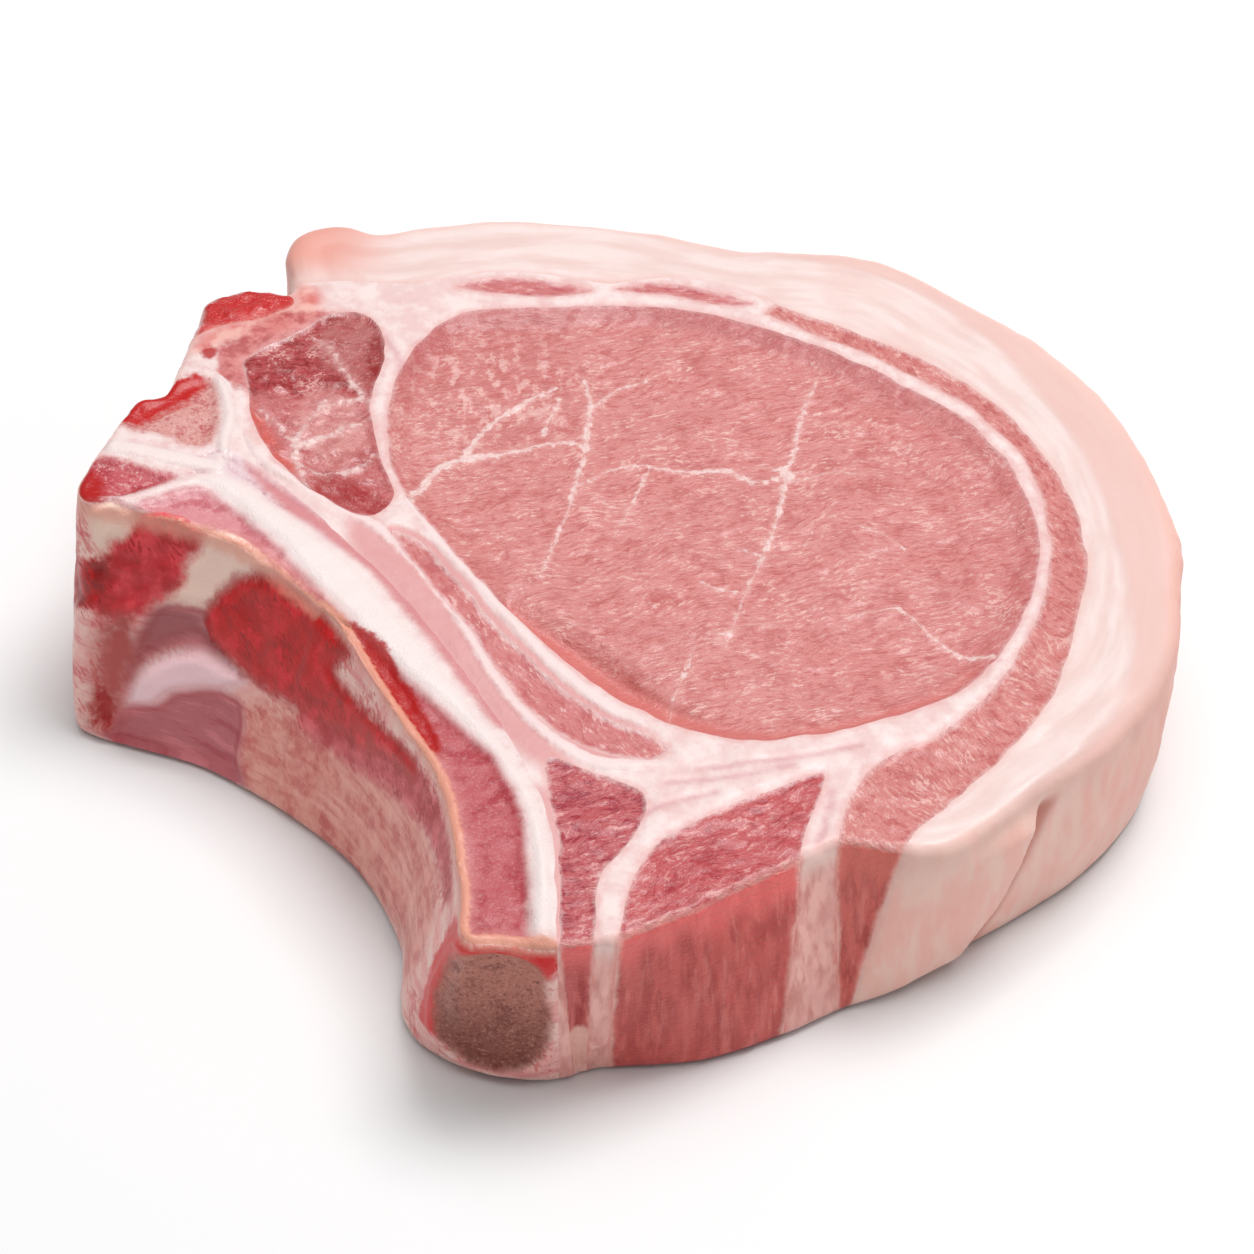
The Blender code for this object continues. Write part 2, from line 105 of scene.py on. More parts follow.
def spline(rows, closed, per_span=16):
    """Curve through the rows, with knots spaced by the square root of the chord."""
    points = np.array(rows, dtype=float)
    if closed:
        points = np.vstack([points[-1], points, points[0], points[1]])
    else:
        first = 2.0 * points[0] - points[1]
        last = 2.0 * points[-1] - points[-2]
        points = np.vstack([first, points, last])
    chords = np.maximum(np.linalg.norm(np.diff(points[:, :2], axis=0), axis=1), 1e-6)
    knots = np.concatenate([[0.0], np.cumsum(np.sqrt(chords))])
    pieces = []
    for i in range(1, len(points) - 2):
        left = (points[i + 1] - points[i - 1]) / (knots[i + 1] - knots[i - 1])
        right = (points[i + 2] - points[i]) / (knots[i + 2] - knots[i])
        span = knots[i + 1] - knots[i]
        t = np.linspace(0.0, 1.0, per_span, endpoint=False)[:, None]
        pieces.append(
            (2 * t**3 - 3 * t**2 + 1) * points[i]
            + (t**3 - 2 * t**2 + t) * span * left
            + (-2 * t**3 + 3 * t**2) * points[i + 1]
            + (t**3 - t**2) * span * right
        )
    if not closed:
        pieces.append(points[-2:-1])
    return np.vstack(pieces)


def evenly(curve, step, closed):
    """The same curve with points at an even spacing near the step."""
    if closed:
        curve = np.vstack([curve, curve[:1]])
    lengths = np.linalg.norm(np.diff(curve[:, :2], axis=0), axis=1)
    along = np.concatenate([[0.0], np.cumsum(lengths)])
    count = max(int(round(along[-1] / step)), 3)
    targets = np.linspace(0.0, along[-1], count + 1)
    if closed:
        targets = targets[:-1]
    columns = [np.interp(targets, along, curve[:, k]) for k in range(curve.shape[1])]
    return np.stack(columns, axis=1)


def outward(curve):
    """Unit normals of a closed clockwise curve, pointing out of it."""
    run = np.roll(curve, -1, axis=0)[:, :2] - np.roll(curve, 1, axis=0)[:, :2]
    run /= np.maximum(np.linalg.norm(run, axis=1, keepdims=True), 1e-9)
    return np.stack([-run[:, 1], run[:, 0]], axis=1)


def clockwise(curve):
    x, y = curve[:, 0], curve[:, 1]
    area = np.sum(x * np.roll(y, -1) - np.roll(x, -1) * y)
    return curve if area < 0.0 else curve[::-1]


def distance_to(points, path, closed, widths=None):
    """Shortest distance from each point to a path, less the path's own half width."""
    path = np.asarray(path, dtype=float)[:, :2]
    count = len(path)
    best = np.full(len(points), 1e6)
    for i in range(count if closed else count - 1):
        start, run = path[i], path[(i + 1) % count] - path[i]
        square = max(float(run @ run), 1e-12)
        away = points - start
        t = np.clip((away @ run) / square, 0.0, 1.0)
        near = np.hypot(away[:, 0] - t * run[0], away[:, 1] - t * run[1])
        if widths is not None:
            near = near - (widths[i] + t * (widths[(i + 1) % count] - widths[i]))
        best = np.minimum(best, near)
    return best


def inside(points, ring):
    """True for each point that lies within a closed ring."""
    crossed = np.zeros(len(points), dtype=bool)
    px, py = points[:, 0], points[:, 1]
    for (ax, ay), (bx, by) in zip(ring[:, :2], np.roll(ring[:, :2], -1, axis=0)):
        if ay == by:
            continue
        across = (ay > py) != (by > py)
        crossed ^= across & (px < ax + (py - ay) * (bx - ax) / (by - ay))
    return crossed


def depth_in(points, ring, reach=12.0):
    """Depth inside a closed ring, negative outside it, worked out as far as the reach."""
    low, high = ring[:, :2].min(axis=0) - reach, ring[:, :2].max(axis=0) + reach
    near = np.all((points > low) & (points < high), axis=1)
    away = np.full(len(points), -reach)
    chosen = points[near]
    gap = distance_to(chosen, ring, True)
    away[near] = np.maximum(np.where(inside(chosen, ring), gap, -gap), -reach)
    return away


def ripple(x, y, seed):
    """Smooth random relief between -1 and 1, with one swell for each unit of x and y."""
    table = np.random.RandomState(seed).uniform(-1.0, 1.0, (RANDOM_CELLS, RANDOM_CELLS))
    column, row = np.floor(x).astype(int), np.floor(y).astype(int)
    fx, fy = smooth(x - column), smooth(y - row)
    near = [table[(column + i) % RANDOM_CELLS, row % RANDOM_CELLS] for i in (0, 1)]
    far = [table[(column + i) % RANDOM_CELLS, (row + 1) % RANDOM_CELLS] for i in (0, 1)]
    return (near[0] * (1 - fx) + near[1] * fx) * (1 - fy) + (far[0] * (1 - fx) + far[1] * fx) * fy


def swells(x, y, *rows):
    """Sum of random reliefs: each row has a height, a length along x, one along y and a seed."""
    return sum(height * ripple(x / along, y / across, seed) for height, along, across, seed in rows)


class Field:
    """A value worked out once on a fine grid over the chop and read anywhere on it."""

    LOW, STEP, SHAPE = (-86.0, -78.0), 0.5, (346, 316)

    def __init__(self, rule):
        xs = self.LOW[0] + self.STEP * np.arange(self.SHAPE[0])
        ys = self.LOW[1] + self.STEP * np.arange(self.SHAPE[1])
        gx, gy = np.meshgrid(xs, ys, indexing="ij")
        self.table = rule(np.stack([gx.ravel(), gy.ravel()], axis=1)).reshape(self.SHAPE)

    def at(self, points):
        x = np.clip((points[:, 0] - self.LOW[0]) / self.STEP, 0, self.SHAPE[0] - 1.001)
        y = np.clip((points[:, 1] - self.LOW[1]) / self.STEP, 0, self.SHAPE[1] - 1.001)
        i, j = x.astype(int), y.astype(int)
        fx, fy = x - i, y - j
        low = self.table[i, j] * (1 - fx) + self.table[i + 1, j] * fx
        high = self.table[i, j + 1] * (1 - fx) + self.table[i + 1, j + 1] * fx
        return low * (1 - fy) + high * fy


def cut_face(points):
    """Height of the cut face above the table, with the slow swells that a knife leaves."""
    x, y = points[:, 0], points[:, 1]
    reach = (x - CHINE_X) ** 2 + (y - CHINE_Y) ** 2
    height = THICKNESS + SLOPE_X * x + SLOPE_Y * y
    height += CHINE_RISE * np.exp(-reach / (2.0 * CHINE_SPREAD**2))
    return height + 0.26 * ripple(x / 15.0, y / 13.0, 1) + 0.08 * ripple(x / 5.0, y / 4.6, 2)


def laid_grid(ring, step):
    """Points in a triangular grid inside a ring, clear of its edge."""
    low, high = ring.min(axis=0), ring.max(axis=0)
    rows = []
    for k, y in enumerate(np.arange(low[1], high[1], step * ROW_RATIO)):
        xs = np.arange(low[0] + (step / 2.0 if k % 2 else 0.0), high[0], step)
        rows.append(np.stack([xs, np.full(len(xs), y)], axis=1))
    spots = np.vstack(rows)
    return spots[Field(lambda p: depth_in(p, ring)).at(spots) > EDGE_CLEARANCE * step]


def fill(ring, spots):
    """Triangles between a ring and the points laid inside it."""
    count = len(ring)
    flat = [Vector(p) for p in ring] + [Vector(p) for p in spots]
    border = [(i, (i + 1) % count) for i in range(count)]
    _, _, patches, sources, _, _ = delaunay_2d_cdt(flat, border, [], 1, 1e-6)
    first = [source[0] for source in sources]
    return [[first[i] for i in patch] for patch in patches]


def mesh_of(name, points, patches):
    """Mesh object in the frame's metres from points in the slice's millimetres."""
    mesh = bpy.data.meshes.new(name)
    placed = np.array(points, dtype=float)
    placed[:, :2] -= SLICE_CENTRE
    mesh.from_pydata((placed / METRE).tolist(), [], [list(patch) for patch in patches])
    work = bmesh.new()
    work.from_mesh(mesh)
    bmesh.ops.recalc_face_normals(work, faces=work.faces)
    work.to_mesh(mesh)
    work.free()
    made = bpy.data.objects.new(name, mesh)
    bpy.context.scene.collection.objects.link(made)
    return made


rim = evenly(spline(OUTLINE, True), RIM_STEP, True)
around = len(rim)
out = outward(rim)
for _ in range(ROUNDING_PASSES):
    out = (np.roll(out, 1, axis=0) + 2.0 * out + np.roll(out, -1, axis=0)) / 4.0
out /= np.linalg.norm(out, axis=1, keepdims=True)
edge, foot, rim = rim[:, 4:5], rim[:, 2:4], rim[:, :2]
steps = np.linalg.norm(np.roll(rim, -1, axis=0) - rim, axis=1)
station = np.concatenate([[0.0], np.cumsum(steps)[:-1]])
girth = float(np.sum(steps))
shoulder = cut_face(rim - out * edge)
levels = []
for turn in EDGE_TURNS:
    bend = math.radians(turn)
    place = rim - out * edge * (1.0 - math.sin(bend))
    levels.append((place, shoulder - edge[:, 0] * (1.0 - math.cos(bend)), 0.0, turn / 90.0))
for t in np.linspace(0.0, 1.0, int(WALL_DEPTH / WALL_STEP))[1:]:
    place = rim + foot * t + out * WALL_BULGE * math.sin(math.pi * t)
    levels.append((place, (shoulder - edge[:, 0]) * (1.0 - t) + FOOT_RADIUS * t, t, 1.0))
for turn in FOOT_TURNS:
    bend = math.radians(turn)
    place = rim + foot - out * FOOT_RADIUS * (1.0 - math.cos(bend))
    levels.append((place, np.full(around, FOOT_RADIUS * (1.0 - math.sin(bend))), 1.0, 1.0 - turn / 90.0))

face_spots = laid_grid(levels[0][0], FACE_STEP)
under_spots = laid_grid(levels[-1][0], UNDERSIDE_STEP)
slice_points = np.vstack(
    [np.column_stack([place, height]) for place, height, _, _ in levels]
    + [np.column_stack([face_spots, cut_face(face_spots)])]
    + [np.column_stack([under_spots, np.zeros(len(under_spots))])]
)
slice_marks = np.vstack(
    [np.column_stack([station, np.full(around, t), np.full(around, side)]) for _, _, t, side in levels]
    + [np.zeros((len(face_spots) + len(under_spots), 3))]
)
patches = []
for k in range(len(levels) - 1):
    for i in range(around):
        a, b = k * around + i, k * around + (i + 1) % around
        patches += [(a, b, b + around), (a, b + around, a + around)]
wall_count = len(levels) * around
for patch in fill(levels[0][0], face_spots):
    patches.append([i if i < around else wall_count + i - around for i in patch])
last_ring, under_start = wall_count - around, wall_count + len(face_spots)
for patch in fill(levels[-1][0], under_spots):
    patches.append([last_ring + i if i < around else under_start + i - around for i in patch])
whole = mesh_of("whole_slice", slice_points, patches)
slice_normals = np.array([tuple(entry.vector) for entry in whole.data.vertex_normals])
nearest = KDTree(len(slice_points))
for i, point in enumerate(slice_points):
    nearest.insert(point, i)
nearest.balance()
rim_line = rim.copy()
rim_gap = Field(lambda p: distance_to(p, rim_line, True))


def wavy(line, closed, seed):
    """A border with the small swings that real ones have."""
    run = np.arange(len(line)) * BORDER_STEP
    fade = smooth(np.minimum(run, run[::-1]) / SWING_FADE) if closed else 1.0
    sway = SWING * (ripple(run / 4.2, 0.0 * run, seed) + 0.6 * ripple(run / 1.7, 0.0 * run, seed + 1))
    return line + outward(line) * (sway * fade)[:, None]


def closed_ring(rows, seed):
    return wavy(clockwise(evenly(spline(rows, True), BORDER_STEP, True)), True, seed)


def open_line(rows, seed):
    return wavy(evenly(spline(rows, False), BORDER_STEP, False), False, seed)


def depth_of(rows, seed, flat):
    """Depth inside an outline with wavy borders, at points of the cut face."""
    return Field(lambda p: depth_in(p, closed_ring(rows, seed))).at(flat)


class Figure:
    """A piece's ring on the cut face, and how the ring moves along X on its way to the table."""

    PINCH, PINCH_LOW, PINCH_HIGH = 0.7, -0.4, 0.92
    CUTTER_HEIGHTS = (-6.0, 52.0)

    def __init__(self, ring, shift=0.0, start=-36.0, end=-52.0, pinch_at=None):
        self.ring, self.shift, self.pinch_at = ring, shift, pinch_at
        self.start, self.end = start, end
        self.field = Field(lambda p: depth_in(p, ring))

    def nearness(self, flat):
        """Share of the move that a point takes, none behind the start and all of it past the end."""
        return smooth((self.start - flat[:, 1]) / (self.start - self.end))

    def pinch(self, flat, down):
        return np.clip(self.PINCH * self.nearness(flat) * down, self.PINCH_LOW, self.PINCH_HIGH)

    def moved(self, flat, down):
        """Where ring points have gone at a depth below the cut face, 0 there and 1 at the table."""
        place = flat.copy()
        if self.pinch_at is None:
            place[:, 0] += self.shift * self.nearness(flat) * down
        else:
            place[:, 0] += (self.pinch_at - flat[:, 0]) * self.pinch(flat, down)
        return place

    def depth(self, points):
        """How far inside the piece a point is, negative outside it."""
        down = 1.0 - points[:, 2] / THICKNESS
        flat = points[:, :2].copy()
        if self.pinch_at is None:
            flat[:, 0] -= self.shift * self.nearness(flat) * down
        else:
            flat[:, 0] = self.pinch_at + (flat[:, 0] - self.pinch_at) / (1.0 - self.pinch(flat, down))
        return self.field.at(flat)

    def cutter(self):
        walls = []
        for z in self.CUTTER_HEIGHTS:
            place = self.moved(self.ring, np.full(len(self.ring), 1.0 - z / THICKNESS))
            walls.append(np.column_stack([place, np.full(len(place), z)]))
        return ruled_wall(self.ring, walls)


def ruled_wall(ring, walls):
    """Closed cutter between a low and a high ring."""
    count = len(ring)
    sides = [list(range(count)), list(range(count, 2 * count))]
    for i in range(count):
        j = (i + 1) % count
        if ring[i][1] < ring[j][1]:
            sides += [(i, j, count + j), (i, count + j, count + i)]
        else:
            sides += [(i, j, count + i), (j, count + j, count + i)]
    return mesh_of("cutter", np.vstack(walls), sides)


def cut(target, cutter, operation):
    step = target.modifiers.new(operation, "BOOLEAN")
    step.operation = operation
    step.solver = "MANIFOLD"
    step.object = cutter
    graph = bpy.context.evaluated_depsgraph_get()
    result = bpy.data.meshes.new_from_object(target.evaluated_get(graph))
    target.modifiers.clear()
    old, target.data = target.data, result
    bpy.data.meshes.remove(old)
    bpy.data.objects.remove(cutter, do_unlink=True)


class Spots:
    """A piece's points in millimetres, with the way round the rim and down the wall at each."""

    def __init__(self, piece):
        places = np.empty(len(piece.data.vertices) * 3)
        piece.data.vertices.foreach_get("co", places)
        self.piece = piece
        self.points = places.reshape(-1, 3) * METRE
        self.points[:, :2] += SLICE_CENTRE
        index = np.array([nearest.find(point)[1] for point in self.points])
        self.u, self.t, self.side = slice_marks[index].T
        self.drop = self.t * WALL_DEPTH
        self.normals = slice_normals[index]
        self.x, self.y, self.z = self.points.T
        self.flat = self.points[:, :2]

    def raised(self, face, wall=0.0):
        """Moves the surface out by one relief on the cut face and another on the wall."""
        amount = (face * (1.0 - self.side) + wall * self.side) * smooth(self.z / RELIEF_FADE)
        self.points += self.normals * amount[:, None]
        placed = self.points.copy()
        placed[:, :2] -= SLICE_CENTRE
        self.piece.data.vertices.foreach_set("co", (placed / METRE).ravel())
        self.piece.data.update()

    def keep(self, **marks):
        """Stores values on the points for the material to read."""
        for name, values in marks.items():
            layer = self.piece.data.attributes.new(name, "FLOAT", "POINT")
            layer.data.foreach_set("value", np.asarray(values, dtype=np.float32))


figures = {}


def parted(name, node, figure):
    """Parts one piece from the slice, and gives its points and how deep inside its ring each lies."""
    figures[node] = figure
    piece = bpy.data.objects.new(name, whole.data.copy())
    bpy.context.scene.collection.objects.link(piece)
    cut(piece, figure.cutter(), "INTERSECT")
    spots = Spots(piece)
    return spots, figure.depth(spots.points)


def settle(piece, material, slot, *nodes):
    """Smooth shading, finish, and the calls that tie a piece to the frame."""
    piece.data.materials.clear()
    piece.data.materials.append(material)
    piece.data.shade_smooth()
    piece.data.set_sharp_from_angle(angle=math.radians(SHARP_ANGLE))
    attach(piece, "root")
    if nodes:
        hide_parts(*nodes)


# Loin eye
# The big round muscle that gives the chop its worth, cut straight across its fibres, so that the wet
# face shows their ends as slanted flecks, whose pale ones also carry painted glints. It has shrunk a
# little below the fat sheath that holds it, and has torn away from it in one deep crescent on the rib
# side, where the wet meat is smooth.
LOIN_EYE = [
    (-29.1, 8.9), (-32.6, 20.5), (-32.3, 31.0), (-28.9, 41.1), (-22.5, 48.2), (-9.1, 50.0),
    (4.0, 50.7), (19.7, 47.0), (36.6, 38.2), (50.9, 25.8), (57.0, 9.7), (55.6, -4.5),
    (49.9, -16.4), (44.6, -22.8), (32.5, -29.3), (15.4, -32.7), (1.0, -27.2), (-12.3, -14.7),
]
EYE_SINK, TEAR_DEPTH, TEAR_WIDTH = 0.9, 1.35, 4.6
GLASSY_CENTRE, GLASSY_SPREAD = (-19.0, 33.0), (17.0, 15.0)
# Middle line of the tear and its half width there
TEAR = [
    (-15.5, -9.0, 0.2), (-11.2, -14.2, 1.8), (-6.2, -19.6, 3.2), (-0.4, -24.2, 2.9), (5.6, -27.5, 1.7),
    (14.0, -31.2, 1.1), (24.0, -31.2, 1.0), (33.0, -28.2, 0.9), (42.0, -23.6, 0.6), (47.0, -18.6, 0.2),
]
# Threads of fat: path, and thickness at its two ends as a share of the thickest
VEINS = [
    ([(-29.2, 9.4), (-27.2, 13.3), (-25.3, 16.5), (-22.6, 18.3), (-19.8, 19.1), (-15.7, 20.4),
      (-11.5, 22.1), (-6.2, 23.2), (-5.0, 21.9)], 0.62, 0.34),
    ([(-22.2, 19.3), (-20.6, 21.9), (-19.2, 24.6), (-17.2, 27.4), (-14.5, 30.0), (-9.6, 34.0)], 0.4, 0.34),
    ([(-5.0, 21.9), (-4.9, 26.5), (-4.6, 29.5), (-4.9, 33.6), (-5.4, 36.3)], 0.5, 0.2),
    ([(-4.6, 29.5), (-2.8, 32.1), (-0.1, 34.5), (3.4, 36.0)], 0.3, 0.3),
    ([(-5.0, 21.9), (-5.9, 17.4), (-6.6, 14.0), (-7.5, 9.5), (-8.6, 5.2), (-9.9, 0.7), (-11.0, -3.5)],
     0.34, 0.16),
    ([(-6.6, 14.0), (-4.5, 15.7), (-1.8, 17.6), (2.4, 18.9), (5.9, 18.4), (9.4, 17.8), (13.5, 18.4),
      (15.6, 18.1), (17.9, 16.3), (21.2, 17.2), (22.9, 18.5)], 0.26, 0.42),
    ([(22.9, 18.5), (24.1, 22.9), (24.5, 25.9), (25.4, 30.0), (26.8, 34.2), (27.8, 37.8)], 0.46, 0.14),
    ([(22.9, 18.5), (22.2, 14.5), (21.4, 9.8), (20.2, 5.1), (19.1, 1.8), (16.5, -5.5), (15.1, -10.6),
      (13.7, -15.4)], 0.46, 0.14),
    ([(22.8, 16.9), (26.0, 17.6), (30.3, 19.0), (33.7, 18.4)], 0.24, 0.1),
    ([(9.5, -16.0), (8.2, -20.6), (6.8, -24.8), (6.0, -29.6)], 0.26, 0.14),
    ([(50.0, -16.4), (45.1, -15.3), (41.9, -12.4), (39.4, -9.2), (37.2, -7.0), (34.1, -7.7), (29.7, -9.2)],
     0.5, 0.14),
    ([(3.8, 18.5), (2.4, 13.9), (0.6, 9.3), (-1.4, 4.4)], 0.22, 0.12),
    ([(32.7, 8.5), (36.0, 6.8), (38.7, 4.6)], 0.16, 0.1),
    ([(10.5, -3.0), (12.5, -4.4), (15.2, -5.0)], 0.2, 0.3),
    ([(12.4, -13.5), (15.1, -12.1), (17.8, -10.9), (20.1, -10.9)], 0.14, 0.1),
    ([(-11.1, 24.1), (-10.6, 26.6), (-9.4, 29.9), (-8.6, 32.0)], 0.3, 0.2),
    ([(18.1, 2.5), (15.8, 3.7), (13.6, 4.4)], 0.2, 0.1),
    ([(20.6, 19.4), (22.9, 18.5), (25.4, 18.9)], 0.2, 0.3),
    ([(22.4, 19.1), (22.9, 18.3), (23.5, 17.6)], 0.7, 0.9),
]
# Light that the cut face and the wall get, the white sheen over both, and the limits of a real surface
FACE_LIGHT, WALL_LIGHT, SHEEN = 1.26, 0.64, 0.042
DARKEST, PALEST = 0.006, 0.92


def paint(red, green, blue, light=FACE_LIGHT):
    """Surface colour that shows as the given screen colour under this light and the sheen of a wet skin."""
    linear = []
    for value in (red, green, blue):
        value /= 255.0
        value = value / 12.92 if value <= 0.04045 else ((value + 0.055) / 1.055) ** 2.4
        linear.append(min(max(value - SHEEN, DARKEST) / light, PALEST))
    return (*linear, 1.0)


def wall_paint(red, green, blue):
    return paint(red, green, blue, WALL_LIGHT)


# Places of a colour mix's factor and two colours among its inputs
COLOUR_MIX_SOCKETS = (0, 6, 7)


class Wiring:
    """Adds nodes to a material or a group and joins them up."""

    def __init__(self, tree):
        self.tree = tree

    def add(self, kind, *values, **settings):
        node = self.tree.nodes.new(kind)
        for name, value in settings.items():
            setattr(node, name, value)
        for socket, value in zip(node.inputs, values):
            self.put(socket, value)
        return node

    def fed(self, kind, sockets, **settings):
        """Adds a node and feeds its inputs by name."""
        node = self.add(kind, **settings)
        for name, value in sockets.items():
            self.put(node.inputs[name], value)
        return node

    def put(self, socket, value):
        if isinstance(value, bpy.types.NodeSocket):
            self.tree.links.new(value, socket)
        elif value is not None:
            socket.default_value = value

    def maths(self, operation, first, second=0.0):
        return self.add("ShaderNodeMath", first, second, operation=operation).outputs[0]

    def times(self, first, second):
        return self.maths("MULTIPLY", first, second)

    def vector(self, operation, first, second=None, scale=None):
        sockets = {} if scale is None else {"Scale": scale}
        node = self.fed("ShaderNodeVectorMath", sockets, operation=operation)
        self.put(node.inputs[0], first)
        self.put(node.inputs[1], second)
        return node.outputs[0]

    def noise_node(self, vector, detail=2.0, rough=0.5):
        return self.fed("ShaderNodeTexNoise", {
            "Vector": vector, "Scale": 1.0, "Detail": detail, "Roughness": rough})

    def noise(self, vector, detail=2.0, rough=0.5):
        return self.noise_node(vector, detail, rough).outputs["Fac"]

    def ease(self, value, low, high):
        return self.add("ShaderNodeMapRange", value, low, high, interpolation_type="SMOOTHSTEP").outputs[0]

    def blend(self, mask, first, second, amount=1.0):
        if amount != 1.0:
            mask = self.times(mask, amount)
        node = self.add("ShaderNodeMix", data_type="RGBA")
        for place, value in zip(COLOUR_MIX_SOCKETS, (mask, first, second)):
            self.put(node.inputs[place], value)
        return node.outputs[2]

    def within(self, inner, mask, colour, shade, amount):
        """Lays a shade over the part of a patch that a mask picks out."""
        return self.blend(self.times(mask, inner), colour, shade, amount)

    def mark(self, name):
        return self.add("ShaderNodeAttribute", attribute_name=name).outputs["Fac"]

    def along(self, first, first_scale, second, second_scale):
        """Place measured by two stored distances."""
        return self.add("ShaderNodeCombineXYZ", self.times(self.mark(first), first_scale),
                        self.times(self.mark(second), second_scale)).outputs[0]

    def placed(self, x=1.0, y=1.0, z=1.0):
        """The point itself, with each axis scaled."""
        return self.vector("MULTIPLY", self.add("ShaderNodeTexCoord").outputs["Object"], (x, y, z))


def new_group(name, inputs, outputs, kind="Shader"):
    """Group of nodes with named sockets, ready to be filled."""
    tree = bpy.data.node_groups.new(name, kind + "NodeTree")
    for label, value in inputs.items():
        sort = "Geometry" if value is None else "Float"
        socket = tree.interface.new_socket(label, in_out="INPUT", socket_type="NodeSocket" + sort)
        if value is not None:
            socket.default_value = value
    for label in outputs:
        sort = "Geometry" if label == "Geometry" else "Float"
        tree.interface.new_socket(label, in_out="OUTPUT", socket_type="NodeSocket" + sort)
    wires = Wiring(tree)
    return tree, wires, tree.nodes.new("NodeGroupInput").outputs, tree.nodes.new("NodeGroupOutput").inputs


# Cut muscle: fibre ends as short flecks that swirl about one direction, on a mottled ground; the pale
# flecks are partly painted glints on the ridges, and the dark ones partly painted shade in the pits
fibres, wires, given, result = new_group(
    "muscle_fibres",
    {"Turn": 0.3, "Fleck Length": 560.0, "Fleck Width": 1750.0, "Patchiness": 0.5, "Curl": 0.0008},
    ("Pale And Glint", "Dark And Pit Shade", "Mottle", "Height"),
)
drift = wires.noise_node(wires.placed(60.0, 60.0, 60.0)).outputs["Color"]
curls = wires.noise_node(wires.placed(380.0, 380.0, 380.0)).outputs["Color"]
bent = wires.vector("ADD", wires.placed(), wires.vector("MULTIPLY", drift, (0.008, 0.008, 0.008)))
bent = wires.vector("ADD", bent, wires.vector("SCALE", curls, scale=given["Curl"]))
turned = wires.fed("ShaderNodeVectorRotate", {
    "Vector": bent, "Angle": wires.times(given["Turn"], -1.0)}, rotation_type="Z_AXIS")
stretch = wires.add("ShaderNodeCombineXYZ", given["Fleck Length"], given["Fleck Width"], given["Fleck Width"])
grain = wires.vector("MULTIPLY", turned.outputs[0], stretch.outputs[0])
coarse = wires.noise(grain, 3.0, 0.62)
fine = wires.noise(wires.vector("MULTIPLY", grain, (1.9, 1.7, 1.7)), 2.0, 0.6)
crowd = wires.noise(wires.placed(170.0, 170.0, 170.0), 3.0, 0.55)
lift = wires.times(wires.maths("SUBTRACT", crowd, 0.5), given["Patchiness"])
# Pale flecks on the bump's ridges are partly painted glints; dark flecks in its pits partly painted shade
pale = wires.ease(wires.maths("ADD", coarse, lift), 0.53, 0.66)
wires.put(result["Pale And Glint"], wires.times(pale, wires.ease(fine, 0.38, 0.58)))
wires.put(result["Dark And Pit Shade"], wires.ease(wires.maths("ADD", coarse, wires.times(lift, 0.6)), 0.46, 0.34))
wires.put(result["Mottle"], wires.noise(wires.placed(330.0, 300.0, 330.0), 4.0, 0.6))
wires.put(result["Height"], wires.maths("ADD", coarse, wires.times(fine, 0.6)))

# Soft border of a patch of colour, from the distance to it in millimetres
patch_edge, wires, given, result = new_group(
    "patch_edge", {"Depth": 0.0, "Softness": 0.5, "Raggedness": 0.5, "Ragged Scale": 700.0}, ("Mask",))
scale = wires.add("ShaderNodeCombineXYZ", *[given["Ragged Scale"]] * 3)
ragged = wires.noise(wires.vector("MULTIPLY", wires.placed(), scale.outputs[0]), 3.0, 0.6)
ragged = wires.times(wires.maths("SUBTRACT", ragged, 0.5), given["Raggedness"])
reach = wires.maths("ADD", given["Depth"], wires.times(ragged, 4.0))
wires.put(result["Mask"], wires.ease(reach, wires.times(given["Softness"], -1.0), given["Softness"]))


class Finish:
    """A wet raw surface: a shader with its colour built up in layers of patches."""

    def __init__(self, name, roughness=0.33, coat=0.2, bump=0.5, reach=0.0005):
        self.material = bpy.data.materials.new(name)
        self.material.use_nodes = True
        self.wires = Wiring(self.material.node_tree)
        self.shader = self.material.node_tree.nodes["Principled BSDF"].inputs
        for name, value in {"Roughness": roughness, "Specular IOR Level": 0.3, "Coat Weight": coat,
                            "Coat Roughness": 0.16}.items():
            self.shader[name].default_value = value
        self.bump, self.reach = bump, reach

    def group(self, tree, **values):
        node = self.wires.add("ShaderNodeGroup", node_tree=tree)
        for name, value in values.items():
            self.wires.put(node.inputs[name.replace("_", " ").title()], value)
        return node.outputs

    def mask(self, mark, softness=0.4, ragged=0.3, scale=700.0, offset=0.0):
        """How far a point is in a patch, 0 to 1, from a stored distance."""
        depth = self.wires.mark(mark) if isinstance(mark, str) else mark
        if offset:
            depth = self.wires.maths("ADD", depth, offset)
        return self.group(
            patch_edge, depth=depth, softness=softness, raggedness=ragged, ragged_scale=scale)[0]

    def patch(self, colour, over, mark, softness=0.4, ragged=0.3, scale=700.0, amount=1.0, offset=0.0):
        """Lays one colour over another where a stored distance says so."""
        return self.wires.blend(self.mask(mark, softness, ragged, scale, offset), over, colour, amount)

    def done(self, colour, height):
        self.wires.put(self.shader["Base Color"], colour)
        bump = self.wires.fed("ShaderNodeBump", {
            "Strength": self.bump, "Distance": self.reach, "Height": height})
        self.wires.put(self.shader["Normal"], bump.outputs[0])
        return self.material


SEAM_PINK = paint(247, 214, 212)


